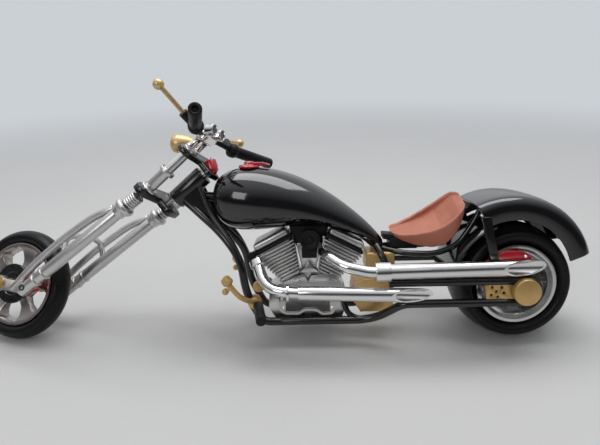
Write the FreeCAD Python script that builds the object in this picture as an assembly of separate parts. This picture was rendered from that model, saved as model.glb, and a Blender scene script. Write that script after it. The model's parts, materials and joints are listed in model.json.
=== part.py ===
"""Toy chopper motorcycle, about 1:10, standing on its side stand with the fork turned right.

Every piece is built upright in the bike frame: X forward, Y to the bike's left, Z up, and the
origin on the ground under the rear axle.  Fork pieces are built in the fork frame: X ahead of the
steering axis, Y left, Z up the axis.  The last step turns the fork, leans the bike on its stand
and puts the origin under the middle of its box.  Millimetres throughout.
"""
import FreeCAD, Part
import math
import os

V = FreeCAD.Vector
ORIGIN, X, Y, Z = V(0, 0, 0), V(1, 0, 0), V(0, 1, 0), V(0, 0, 1)

# ---- driving dimensions -------------------------------------------------------------------------
WHEEL_R = 30.0            # both tyres, outside radius
RIM_R = 23.4              # both rims, outside radius
REAR_TYRE_W = 34.0
REAR_CROWN_R = 24.0       # radius of the rear tread across the tyre
FRONT_TYRE_W = 11.0
AXLE_Z = WHEEL_R
LEAN = 9.0                # degrees to the right on the side stand
STEER = 26.0              # degrees to the right, on the steering stop
HEAD_ANGLE = 41.0         # steering axis above the horizontal
HEAD = V(165.6, 0, 80.5)  # middle of the steering head
WHEEL_AHEAD, WHEEL_DOWN = 27.0, 110.0   # front axle from the head: ahead of the axis, down along it
FORK_HALF = 15.4          # fork leg from the middle plane
UPPER_HALF = 12.6         # upper fork tube from the middle plane
LEG_AHEAD = 8.5           # fork leg ahead of the steering axis at the collar
COLLAR_DOWN = 30.0        # collar below the head, along the axis
LEG_RAKE = 4.5            # degrees that the legs lean ahead of the steering axis
RAIL_R = 2.1              # frame tubes
RAIL_HALF = 13.0          # lower rails from the middle plane
RAIL_Z, RAIL_FRONT = 11.5, 120.0
AXLE_RAIL_HALF = 24.0     # rear rails from the middle plane
AXLE_RAIL_TOP, AXLE_RAIL_LOW = 34.6, 23.6
PIPE_R = 3.2              # exhaust pipes
FIT = 0.08                # gap round an axle or a pin
HUB_GAP = 0.4             # gap beside a hub


# ---- shape helpers ------------------------------------------------------------------------------
def rod(start, end, radius):
    """A round bar between two points."""
    return Part.makeCylinder(radius, (end - start).Length, start, end - start)


def pipe(start, end, radius, bore):
    """A round bar with a hole right through."""
    along = (end - start).normalize()
    return rod(start, end, radius).cut(rod(start - along, end + along, bore))


def path(points):
    """Straight runs joined by tangent arcs, each as large as its two runs allow."""
    edges = []
    last = points[0]
    for before, corner, after in zip(points, points[1:], points[2:]):
        way_in, way_out = (corner - before), (after - corner)
        trim = 0.45 * min(way_in.Length, way_out.Length)
        way_in.normalize()
        way_out.normalize()
        enter, leave = corner - way_in * trim, corner + way_out * trim
        half_turn = way_in.getAngle(way_out) / 2
        inward = (way_out - way_in).normalize()
        radius = trim / math.tan(half_turn)
        middle = corner + inward * (radius / math.cos(half_turn) - radius)
        edges.append(Part.makeLine(last, enter))
        edges.append(Part.Arc(enter, middle, leave).toShape())
        last = leave
    edges.append(Part.makeLine(last, points[-1]))
    return Part.Wire(edges)


def tube(points, radius):
    """A round bar bent along a path."""
    if len(points) == 2:
        return rod(points[0], points[1], radius)
    ring = Part.makeCircle(radius, points[0], points[1] - points[0])
    return path(points).makePipeShell([Part.Wire(ring)], True, False)


def both(points):
    """The same points mirrored to the bike's right."""
    return [V(p.x, -p.y, p.z) for p in points]


def spun(profile, centre=ORIGIN, axis=Y):
    """A solid turned from (radius, along) points, about an axis through the centre."""
    points = [V(r, 0, a) for r, a in profile]
    face = Part.Face(Part.makePolygon(points + points[:1]))
    solid = face.revolve(ORIGIN, Z, 360)
    solid.Placement = FreeCAD.Placement(centre, FreeCAD.Rotation(Z, axis))
    return solid


def slab(outline, low, high):
    """A plate in the XZ plane from Y low to Y high, with its outline as (x, z) points."""
    points = [V(x, low, z) for x, z in outline]
    return Part.Face(Part.makePolygon(points + points[:1])).extrude(V(0, high - low, 0))


def block(x0, x1, y0, y1, z0, z1):
    return Part.makeBox(x1 - x0, y1 - y0, z1 - z0, V(x0, y0, z0))


def fused(*shapes):
    whole = shapes[0].multiFuse(list(shapes[1:]))
    return whole.removeSplitter()


def several(shapes):
    """Solids that don't touch, as one node."""
    return Part.makeCompound(shapes)


def pair(make):
    """The left and right pieces that a function makes for side 1 and -1."""
    return several([make(1), make(-1)])


# ---- frame --------------------------------------------------------------------------------------
FORK = FreeCAD.Placement(HEAD, FreeCAD.Rotation(Y, HEAD_ANGLE - 90))
NECK_R, NECK_HALF, STEM_R = 5.2, 9.6, 2.1


def fork_point(ahead, left, up):
    """A point of the fork frame in the bike frame, with the fork straight."""
    return FORK.multVec(V(ahead, left, up))


def frame_neck():
    return pipe(fork_point(0, 0, -NECK_HALF), fork_point(0, 0, NECK_HALF), NECK_R, STEM_R + FIT)


def frame_backbone():
    points = [fork_point(0.2 - NECK_R, 0, -1), V(146, 0, 75), V(104, 0, 70), V(84, 0, 61), V(70, 0, 49)]
    return tube(points, 2.4)


def down_tube(side):
    y = RAIL_HALF * side
    return tube([fork_point(-3, 2.2 * side, -6), V(149, 7 * side, 57), V(139.5, y, 45), V(137, y, 26),
                 V(129, y, RAIL_Z), V(RAIL_FRONT, y, RAIL_Z)], RAIL_R)


def lower_rails(settled):
    """Both rails, with the side stand's boss on the right one."""
    return several([lower_rail(1), fused(lower_rail(-1), stand_lug(settled))])


def lower_rail(side):
    y, wide = RAIL_HALF * side, AXLE_RAIL_HALF * side
    return tube([V(RAIL_FRONT, y, RAIL_Z), V(72, y, RAIL_Z), V(59, wide, AXLE_RAIL_LOW),
                 V(50, wide, AXLE_RAIL_LOW)], RAIL_R)


def axle_rail(side):
    """Two rails joined round the axle's end by a half turn."""
    y, top, bottom, end = AXLE_RAIL_HALF * side, AXLE_RAIL_TOP, AXLE_RAIL_LOW, -2.0
    rise = (top - bottom) / 2
    runs = [Part.makeLine(V(66, y, top), V(end, y, top)),
            Part.Arc(V(end, y, top), V(end - rise, y, bottom + rise), V(end, y, bottom)).toShape(),
            Part.makeLine(V(end, y, bottom), V(50, y, bottom))]
    ring = Part.makeCircle(RAIL_R, V(66, y, top), X)
    return Part.Wire(runs).makePipeShell([Part.Wire(ring)], True, False)


def seat_post(side):
    return tube([V(70, 6 * side, 49.5), V(67, 10.4 * side, 44), V(65, 10.4 * side, 38.5),
                 V(61, 16 * side, 34),
                 V(60, (AXLE_RAIL_HALF - 1) * side, AXLE_RAIL_TOP)], 1.8)


def seat_rail(side):
    y = 10 * side
    return tube([V(67, 3 * side, 47.2), V(56, y, 45.8), V(40, y, 45.2), V(29, y, 49.4), V(22.3, y, 59.5),
                 V(17.5, y, 69)], 1.5)


# ---- tank, seat and fender ----------------------------------------------------------------------
#  x, seam z, top z, bottom z, half width
TANK_SECTIONS = [(153.0, 75.5, 80.5, 69.0, 6.0),
                 (147.0, 72.0, 87.6, 60.5, 13.0),
                 (130.0, 68.0, 90.3, 58.0, 16.5),
                 (106.0, 65.5, 83.6, 60.0, 14.5),
                 (84.0, 58.5, 69.5, 55.5, 9.5),
                 (66.0, 49.5, 51.5, 48.0, 3.0)]


def tank_section(x, seam, top, bottom, half):
    upper = Part.Arc(V(x, -half, seam), V(x, 0, top), V(x, half, seam)).toShape()
    lower = Part.Arc(V(x, half, seam), V(x, 0, bottom), V(x, -half, seam)).toShape()
    return Part.Wire([upper, lower])


def fuel_tank():
    return Part.makeLoft([tank_section(*row) for row in TANK_SECTIONS], True, False)


def fuel_cap():
    base = V(134.6, 0, 88.6)
    return spun([(0, 0), (4.7, 0), (4.7, 3.2), (3.9, 4.0), (0, 4.0)], base, Z).fuse(
        rod(base + V(0, 0, 3), base + V(-9, 0, 3), 1.0))


SEAT_SIDE = [(61.9, 54.0), (60.5, 57.0), (49.5, 63.3), (30.0, 75.0), (26.5, 75.2), (24.2, 70.0),
             (26.0, 59.5), (31.5, 51.5), (39.5, 47.6), (52.0, 49.6)]
#  x, half width
SEAT_PLAN = [(62.5, 4.0), (50.0, 8.5), (38.0, 12.5), (28.0, 12.5), (23.5, 9.0)]
SEAT_WALL = 2.6


def seat():
    plan = [V(x, half, 0) for x, half in SEAT_PLAN] + [V(x, -half, 0) for x, half in reversed(SEAT_PLAN)]
    plan_solid = Part.Face(Part.makePolygon(plan + plan[:1])).extrude(V(0, 0, 120))
    whole = slab(SEAT_SIDE, -20, 20).common(plan_solid)
    inner = slab([(x, z + SEAT_WALL * 1.6) for x, z in SEAT_SIDE], -20, 20)
    inner_plan = [V(x, max(half - SEAT_WALL, 1.0), 0) for x, half in SEAT_PLAN]
    inner_plan += [V(p.x, -p.y, 0) for p in reversed(inner_plan)]
    inner_solid = Part.Face(Part.makePolygon(inner_plan + inner_plan[:1])).extrude(V(0, 0, 120))
    inner_solid.translate(V(1.5, 0, 0))
    return whole.cut(inner.common(inner_solid))


def seat_base():
    return block(48.5, 62.5, -5.5, 5.5, 47.2, 52.6)


FENDER_CENTRE, FENDER_R, FENDER_WALL = V(3, 0, 35), 41.0, 1.6
FENDER_HALF, FENDER_DEPTH = 19.5, 10.0
FENDER_FROM, FENDER_TO = 63.0, 163.0       # degrees from ahead


def rear_fender():
    outer, inner = FENDER_R, FENDER_R - FENDER_WALL
    skirt = FENDER_R - FENDER_DEPTH
    half, side = FENDER_HALF, FENDER_HALF - FENDER_WALL
    edge = 4.0
    profile = [(skirt, -half), (outer - edge, -half), (outer, edge - half), (outer, half - edge),
               (outer - edge, half), (skirt, half), (skirt, side), (inner - edge, side),
               (inner, side + FENDER_WALL - edge), (inner, edge - half), (inner - edge, -side),
               (skirt, -side)]
    points = [V(r, y, 0) for r, y in profile]
    face = Part.Face(Part.makePolygon(points + points[:1]))
    face.rotate(ORIGIN, Y, -FENDER_FROM)
    solid = face.revolve(ORIGIN, Y, -(FENDER_TO - FENDER_FROM))
    solid.translate(FENDER_CENTRE)
    return solid


def fender_strut(side):
    low, high = sorted((side * FENDER_HALF, side * (FENDER_HALF + 2.5)))
    return slab([(16.5, 66), (21.0, 66), (14.0, 36), (10.0, 36)], low, high)


# ---- engine -------------------------------------------------------------------------------------
CYLINDER_TILT = 27.5
FIN_PITCH, FIN_COUNT = 2.4, 7


def crankcase():
    outline = [(88, 12.5), (122.5, 12.5), (126, 18), (125.5, 26), (121, 30.5), (107.5, 36), (105.5, 31.5),
               (103.5, 35), (92, 36), (86.5, 29), (86, 18)]
    return slab(outline, -10.5, 10.5)


def engine_cover():
    plate = slab([(90, 16), (120, 15), (123, 20), (120, 25), (92, 25), (89, 20)], 10.5, 13.5)
    return plate


def tilted(shape, foot, degrees):
    shape.rotate(ORIGIN, Y, degrees)
    shape.translate(foot)
    return shape


def cylinder(foot, degrees):
    core = block(-6.6, 6.6, -7.4, 7.4, -1, FIN_PITCH * FIN_COUNT)
    fins = [block(-8.6, 8.6, -9.6, 9.6, i * FIN_PITCH, i * FIN_PITCH + 1.2) for i in range(FIN_COUNT)]
    return tilted(fused(core, *fins), foot, degrees)


def head_cover(foot, degrees):
    top = FIN_PITCH * FIN_COUNT
    lid = block(-9.2, 9.2, -9.8, 9.8, top, top + 3.6)
    crown = block(-6.0, 6.0, -6.5, 6.5, top + 3.6, top + 5)
    return tilted(fused(lid, crown), foot, degrees)


FRONT_FOOT, REAR_FOOT = V(114.6, 0, 34.6), V(94.8, 0, 34.6)


def air_cleaner():
    return spun([(0, 0), (5.2, 0), (5.2, 2.6), (4.2, 3.8), (0, 3.8)], V(104.2, 8.0, 54.6), Y).fuse(
        rod(V(104.2, -6, 54.6), V(104.2, 8, 54.6), 3.4))


def gearbox():
    return slab([(61, 14), (80, 14), (83, 22), (80, 32), (61, 32)], -9, 9)


def oil_tank():
    return block(60, 75.5, -8, 8, 36.5, 45.5)


# ---- exhausts -----------------------------------------------------------------------------------
EXHAUST_Y = 27.0


def exhaust(points, muffler_start, muffler_end, muffler_r, slash):
    header = tube(points, PIPE_R - 0.4)
    along = (muffler_end - muffler_start).normalize()
    collar = rod(muffler_start - along * 4, muffler_start + along * 3, muffler_r + 0.9)
    can = rod(muffler_start, muffler_end, muffler_r)
    can = can.cut(rod(muffler_end - along * (slash + 12), muffler_end + along, muffler_r - 0.7))
    cutter = Part.makeBox(60, 60, 60, V(-60, 0, -30))
    cutter.rotate(ORIGIN, Z, math.degrees(math.atan2(2 * muffler_r, slash)))
    cutter.translate(muffler_end + V(slash, muffler_r, 0))
    return fused(header, collar, can).cut(cutter)


def exhaust_upper():
    points = [V(97.5, 9.9, 47.5), V(95.5, 17, 47), V(89, 24.5, 43.5), V(76, EXHAUST_Y, 41),
              V(70, EXHAUST_Y, 41)]
    return exhaust(points, V(69, EXHAUST_Y, 41), V(-11, EXHAUST_Y, 41.9), 3.9, 24)


def exhaust_lower():
    points = [V(127.5, 9.9, 44.5), V(132, 14, 44), V(131.5, 22, 36), V(121, EXHAUST_Y, 31.8),
              V(108, EXHAUST_Y, 31.2)]
    return exhaust(points, V(114, EXHAUST_Y, 31.4), V(44, EXHAUST_Y, 28.6), 3.5, 22)


# ---- rear axle and brake ------------------------------------------------------------------------
AXLE_R, CAP_R, CAP_FACE = 2.4, 6.6, 30.0
REAR_HUB_HALF = 15.0


def rear_axle():
    centre = V(0, 0, AXLE_Z)
    pin = rod(centre - Y * CAP_FACE, centre + Y * CAP_FACE, AXLE_R)
    caps = [rod(centre + Y * (AXLE_RAIL_HALF + RAIL_R + 0.05) * s, centre + Y * CAP_FACE * s, CAP_R)
            for s in (1, -1)]
    return fused(pin, *caps)


DISC_R, DISC_Y = 17.0, 18.4


def rear_caliper():
    body = slab([(-6, 42.5), (12.5, 42.5), (12.5, 47), (10.5, 49.6), (-6, 49.6)], DISC_Y - 1.9, DISC_Y + 3.0)
    return body.cut(block(-12, 20, DISC_Y - 1.1, DISC_Y + 1.1, 36, 48.2))


# ---- foot controls and side stand ---------------------------------------------------------------
def foot_control(side):
    arm = tube([V(132, 15 * side, 22.6), V(138, 20 * side, 25.5), V(143, 22 * side, 32),
                V(145.5, 22 * side, 36)], 1.2)
    ball = Part.makeSphere(2.9, V(145.5, 22 * side, 36.4))
    pad = Part.makeSphere(1.7, V(146.5, 22 * side, 31))
    clamp = rod(V(133, 10.5 * side, 22.6), V(133, 17 * side, 22.6), 3.3)
    stalk = rod(V(144, 22 * side, 33), V(146.5, 22 * side, 31), 1.0)
    return fused(arm, ball, pad, stalk, clamp)


def foot_peg(side):
    return rod(V(131, 17 * side, 21.5), V(128.5, 32 * side, 19), 2.6)


# ---- wheels (about the origin, spinning on Y) ---------------------------------------------------
def spokes(count, inner, outer, width, low, high):
    shapes = []
    for i in range(count):
        arm = block(inner, outer, low, high, -width / 2, width / 2)
        arm.rotate(ORIGIN, Y, 360.0 * i / count)
        shapes.append(arm)
    return shapes


def rear_rim():
    half = REAR_TYRE_W / 2 - 1
    barrel = spun([(RIM_R, -half), (RIM_R, half), (RIM_R - 2, half), (RIM_R - 3.2, half - 3),
                   (RIM_R - 3.2, 3 - half), (RIM_R - 2, -half)])
    hub = rod(V(0, -REAR_HUB_HALF, 0), V(0, REAR_HUB_HALF, 0), 6.0)
    arms = spokes(6, 4, RIM_R - 2.6, 4.4, 4, 9)
    return fused(barrel, hub, *arms).cut(rod(V(0, -30, 0), V(0, 30, 0), AXLE_R + FIT))


def rear_disc():
    return pipe(V(0, DISC_Y - 0.8, 0), V(0, DISC_Y + 0.8, 0), DISC_R, 6.5).fuse(
        pipe(V(0, REAR_HUB_HALF, 0), V(0, DISC_Y + 0.8, 0), 7.0, AXLE_R + FIT))


def rear_pulley():
    return pipe(V(0, -DISC_Y - 0.6, 0), V(0, -REAR_HUB_HALF, 0), 13.0, AXLE_R + FIT)


def rear_tyre():
    """The tread is an arc across the tyre, between two rounded walls."""
    half = REAR_TYRE_W / 2
    drop = REAR_CROWN_R - math.sqrt(REAR_CROWN_R ** 2 - (half - 2) ** 2)
    crown = Part.Arc(V(WHEEL_R - drop, half - 2, 0), V(WHEEL_R, 0, 0),
                     V(WHEEL_R - drop, 2 - half, 0)).toShape()
    right = Part.Arc(V(WHEEL_R - drop, 2 - half, 0), V(RIM_R + 1.0, -half, 0),
                     V(RIM_R, 1.2 - half, 0)).toShape()
    left = Part.Arc(V(RIM_R, half - 1.2, 0), V(RIM_R + 1.0, half, 0),
                    V(WHEEL_R - drop, half - 2, 0)).toShape()
    inside = Part.makeLine(V(RIM_R, 1.2 - half, 0), V(RIM_R, half - 1.2, 0))
    return Part.Face(Part.Wire([crown, right, inside, left])).revolve(ORIGIN, Y, 360)


FRONT_HUB_HALF = 6.5
FRONT_AXLE_HALF = 20.0


def front_rim():
    half = FRONT_TYRE_W / 2 - 1
    barrel = spun([(RIM_R, -half), (RIM_R, half), (RIM_R - 2.4, half), (RIM_R - 2.4, -half)])
    hub = rod(V(0, -FRONT_HUB_HALF, 0), V(0, FRONT_HUB_HALF, 0), 4.6)
    arms = spokes(6, 3, RIM_R - 1.5, 3.6, -1.5, 1.5)
    return fused(barrel, hub, *arms).cut(rod(V(0, -30, 0), V(0, 30, 0), 1.6 + FIT))


def front_tyre():
    section_r = FRONT_TYRE_W / 2
    ring = Part.makeTorus(WHEEL_R - section_r, section_r, ORIGIN, Y)
    return ring.cut(rod(V(0, -20, 0), V(0, 20, 0), RIM_R))


def front_disc():
    return pipe(V(0, FRONT_HUB_HALF, 0), V(0, FRONT_HUB_HALF + 1.4, 0), 14.0, 1.6 + FIT)


# ---- fork (in the fork frame) -------------------------------------------------------------------
AXLE_POINT = V(WHEEL_AHEAD, 0, -WHEEL_DOWN)
LOWER_CLAMP_UP, UPPER_CLAMP_UP = -18.0, 11.6
LEG_R, LEG_END = 3.2, 72.0
LEG_TOP = V(LEG_AHEAD, 0, -COLLAR_DOWN)
LEG_WAY = V(math.sin(math.radians(LEG_RAKE)), 0, -math.cos(math.radians(LEG_RAKE)))


def on_leg(distance, side, ahead=0.0):
    """A point down a fork leg from its collar."""
    across = V(LEG_WAY.z * -1, 0, LEG_WAY.x)
    return LEG_TOP + LEG_WAY * distance + across * ahead + Y * FORK_HALF * side


def steering_stem():
    return rod(V(0, 0, LOWER_CLAMP_UP), V(0, 0, UPPER_CLAMP_UP + 2), STEM_R)


def clamp(up, thick, half, width):
    bar = block(LEG_AHEAD - width / 2, LEG_AHEAD + width / 2, -half, half, up, up + thick)
    nose = block(-5, LEG_AHEAD, -5.2, 5.2, up, up + thick)
    return fused(bar, nose).cut(rod(V(0, 0, -40), V(0, 0, 40), STEM_R))


def lower_clamp():
    return clamp(LOWER_CLAMP_UP, 4.0, 20.0, 9.0)


def upper_clamp():
    return clamp(UPPER_CLAMP_UP, 3.0, 19.0, 8.0)


def upper_tube(side):
    x, y = LEG_AHEAD, UPPER_HALF * side
    low, high = LOWER_CLAMP_UP + 4, UPPER_CLAMP_UP
    lower = rod(V(x, y, low), V(x, y, low + 13), 2.9)
    ring = rod(V(x, y, low + 12), V(x, y, low + 14), 4.2)
    return fused(lower, ring, rod(V(x, y, low + 13), V(x, y, high), 2.5))


def fork_leg(side):
    return fused(rod(on_leg(-9, side), on_leg(2, side), 1.7),
                 rod(on_leg(0, side), on_leg(LEG_END, side), LEG_R))


def fork_collar(side):
    return rod(on_leg(-3, side), on_leg(3, side), 4.6).cut(fork_leg(side))


def fork_spring(side):
    """Close coils, as a turned solid with a groove for each gap."""
    length, coils, radius = 8.0, 6, 3.0
    pitch = length / coils
    outer = []
    for i in range(coils):
        outer += [(radius - 0.7, i * pitch), (radius, (i + 0.25) * pitch), (radius, (i + 0.6) * pitch)]
    outer.append((radius - 0.7, length))
    profile = [(1.7, 0)] + outer + [(1.7, length)]
    return spun(profile, on_leg(-3, side), LEG_WAY * -1)


def front_bar(side):
    """The slim bowed bar ahead of a leg."""
    points = [on_leg(4, side, 3.5), on_leg(16, side, 7.0), on_leg(38, side, 8.5), on_leg(60, side, 7.5),
              on_leg(76, side, 4.6)]
    return tube(points, 2.0).cut(fork_leg(side))


def rocker(side):
    """The flat link from the leg's end to the axle."""
    start, end = on_leg(LEG_END - 3, side), AXLE_POINT + Y * FORK_HALF * side
    way = (end - start)
    link = Part.makeBox(way.Length, 3.2, 6.0, V(0, -1.6, -3))
    link.Placement = FreeCAD.Placement(start, FreeCAD.Rotation(X, way))
    whole = fused(link, rod(end - Y * 2, end + Y * 2, 4.2))
    return whole.cut(fork_leg(side)).cut(front_bar(side)).cut(rod(AXLE_POINT - Y * 40, AXLE_POINT + Y * 40,
                                                                  1.6))


def front_axle():
    caps = [rod(AXLE_POINT + Y * (FORK_HALF + 2) * s, AXLE_POINT + Y * (FORK_HALF + 5.5) * s, 4.4)
            for s in (1, -1)]
    pin = rod(AXLE_POINT - Y * (FORK_HALF + 3), AXLE_POINT + Y * (FORK_HALF + 3), 1.6)
    sleeves = [rod(AXLE_POINT + Y * (FRONT_HUB_HALF + 1.4 + HUB_GAP) * s,
                   AXLE_POINT + Y * (FORK_HALF - 2) * s, 2.8)
               for s in (1, -1)]
    return fused(pin, *caps, *sleeves)


def front_caliper():
    centre = AXLE_POINT + V(-9, 0, 8)
    body = block(-4.5, 4.5, 5.2, 10.6, -3, 3)
    body.translate(centre)
    return body.cut(pipe(AXLE_POINT + Y * 6, AXLE_POINT + Y * 8.6, 14.8, 1.0))


def fork_brace():
    foot = 34.0
    return tube([on_leg(foot, 1, 1), on_leg(foot, 0.75, 8), on_leg(foot, 0, 10), on_leg(foot, -0.75, 8),
                 on_leg(foot, -1, 1)], 1.1).cut(fork_leg(1)).cut(fork_leg(-1))


def headlight():
    centre = V(22.0, 0, 13.0)
    ahead = FORK.Rotation.inverted().multVec(X)
    return spun([(0, 0), (3.2, 0), (4.9, 3.6), (5.2, 8.5), (0, 8.5)], centre - ahead * 4, ahead)


def handlebar_riser():
    return block(11, 19, -5, 5, UPPER_CLAMP_UP + 3, 26)


BAR_R, GRIP_R = 1.5, 3.1
GRIP_IN, GRIP_OUT = V(10.2, 22, 26.4), V(0.7, 46, 35.0)


def half_bar(side):
    points = [V(15, 4.9, 23), V(15, 10, 24), GRIP_IN, GRIP_IN + (GRIP_OUT - GRIP_IN) * 0.95]
    return tube(points if side > 0 else both(points), BAR_R)


def grip(side):
    ends = [GRIP_IN, GRIP_OUT] if side > 0 else both([GRIP_IN, GRIP_OUT])
    return pipe(ends[0], ends[1], GRIP_R, BAR_R)


def lever(side):
    points = [V(12.5, 21, 26.5), V(17, 21, 25.5), V(21, 30, 27), V(23.5, 45, 29)]
    points = points if side > 0 else both(points)
    return fused(tube(points, 1.15), Part.makeSphere(2.6, points[-1]),
                 Part.makeSphere(2.2, points[0]))


def gauges():
    pods = [spun([(0, 0), (2.6, 0), (3.2, 3.6), (0, 3.6)], V(16, y, 26), V(-0.6, 0, 1)) for y in (-4.2, 4.2)]
    return several(pods)


def marker_lamp():
    behind = FORK.Rotation.inverted().multVec(X) * -1
    return spun([(0, 0), (2.5, 0), (2.5, 5), (1.4, 8), (0, 8.6)], V(3.0, 0, UPPER_CLAMP_UP + 4.0), behind)


# ---- side stand ---------------------------------------------------------------------------------
STAND_PIVOT = V(100, -17.4, 15.0)
STAND_FOOT_XY = (105.0, -38.0)
STAND_FOLDED = V(-21.5, -4.0, -2.0)     # from the pivot to the foot, when folded back
STAND_AXIS_DROP = -0.5                  # the axis leans down towards the bike
STAND_EYE_R, STAND_EYE_HALF, STAND_PIN_R = 3.0, 1.7, 1.1


def stand_foot(settled):
    """The foot's middle on the ground and the ground's normal, in the bike frame."""
    back = settled.inverse()
    normal = back.Rotation.multVec(Z)
    ground = back.multVec(ORIGIN)
    x, y = STAND_FOOT_XY
    z = ground.z - (normal.x * (x - ground.x) + normal.y * (y - ground.y)) / normal.z
    return V(x, y, z), normal


def stand_axis(settled):
    """The hinge's axis: turning on it takes the foot down and back, then up beside the rail."""
    reach = stand_foot(settled)[0] - STAND_PIVOT
    change = STAND_FOLDED.normalize() * reach.Length - reach
    ahead = 0.05
    left = -(change.x * ahead + change.z * STAND_AXIS_DROP) / change.y
    return V(ahead, left, STAND_AXIS_DROP).normalize()


def side_stand(settled):
    foot, normal = stand_foot(settled)
    axis = stand_axis(settled)
    pad = rod(foot, foot + normal * 2.0, 4.6)
    ankle = foot + normal * 2.4
    knee = STAND_PIVOT + (foot - STAND_PIVOT) * 0.45 - Y * 1.5
    eye = rod(STAND_PIVOT - axis * STAND_EYE_HALF, STAND_PIVOT + axis * STAND_EYE_HALF, STAND_EYE_R)
    whole = fused(eye, tube([STAND_PIVOT - axis * 0.8, knee, ankle], 2.3), pad)
    hole = rod(STAND_PIVOT - axis * (STAND_EYE_HALF - 0.4), STAND_PIVOT + axis * 5, STAND_PIN_R + FIT)
    return whole.cut(hole)


def stand_lug(settled):
    """The boss on the right rail that carries the stand, with its pin."""
    axis = stand_axis(settled)
    boss = rod(STAND_PIVOT + axis * (STAND_EYE_HALF + FIT), STAND_PIVOT + axis * 6, STAND_EYE_R)
    pin = rod(STAND_PIVOT - axis * (STAND_EYE_HALF - 0.6), STAND_PIVOT + axis * 3, STAND_PIN_R)
    return fused(boss, pin)


# ---- placing ------------------------------------------------------------------------------------
TURN = FreeCAD.Placement(ORIGIN, FreeCAD.Rotation(Z, -STEER))


def wheel_low(place, centre, crown, axis):
    """Lowest height of a tyre whose tread is an arc of the given radius."""
    spin = place.Rotation.multVec(axis)
    return place.multVec(centre).z - (WHEEL_R - crown) * math.sqrt(1 - spin.z ** 2) - crown


def settle():
    """Lean the bike, then pitch it until both tyres touch the ground."""
    turned = FORK.multiply(TURN)
    front_centre, front_axis = turned.multVec(AXLE_POINT), turned.Rotation.multVec(Y)
    pitch = 0.0
    for _ in range(8):
        place = FreeCAD.Placement(ORIGIN, FreeCAD.Rotation(X, LEAN).multiply(FreeCAD.Rotation(Y, pitch)))
        rear = wheel_low(place, V(0, 0, AXLE_Z), REAR_CROWN_R, Y)
        front = wheel_low(place, front_centre, FRONT_TYRE_W / 2, front_axis)
        pitch += math.degrees((front - rear) / front_centre.x)
    place.Base = V(0, 0, -rear)
    return place


#  node: the nodes of the same body that it is cut to fit
TRIMMED = {
    "frame_backbone": ["frame_neck"],
    "down_tubes": ["frame_neck", "foot_controls"],
    "seat_posts": ["axle_rails", "frame_backbone"],
    "seat_rails": ["frame_backbone", "seat_posts", "seat", "seat_base", "rear_fender", "fuel_tank"],
    "seat_base": ["seat", "frame_backbone"],
    "fuel_tank": ["frame_backbone"],
    "fuel_cap": ["fuel_tank"],
    "crankcase": ["front_cylinder", "rear_cylinder"],
    "oil_tank": ["frame_backbone", "seat_posts", "seat_rails"],
    "exhaust_upper": ["cylinder_heads", "rear_cylinder", "axle_rails"],
    "exhaust_lower": ["cylinder_heads", "front_cylinder", "axle_rails"],
    "rear_caliper": ["fender_struts"],
    "fender_struts": ["axle_rails"],
    "foot_pegs": ["foot_controls"],
    "marker_lamp": ["upper_clamp"],
    "handlebar": ["handlebar_riser"],
    "headlight": ["handlebar_riser"],
    "grips": ["handlebar"],
    "levers": ["handlebar", "grips"],
    "gauges": ["handlebar_riser", "handlebar"],
}


def trimmed(name, pieces):
    """A piece of a body, cut where the pieces that it meets pass through it."""
    shape = pieces[name]
    for other in TRIMMED.get(name, []):
        shape = shape.cut(pieces[other])
    return shape


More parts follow.
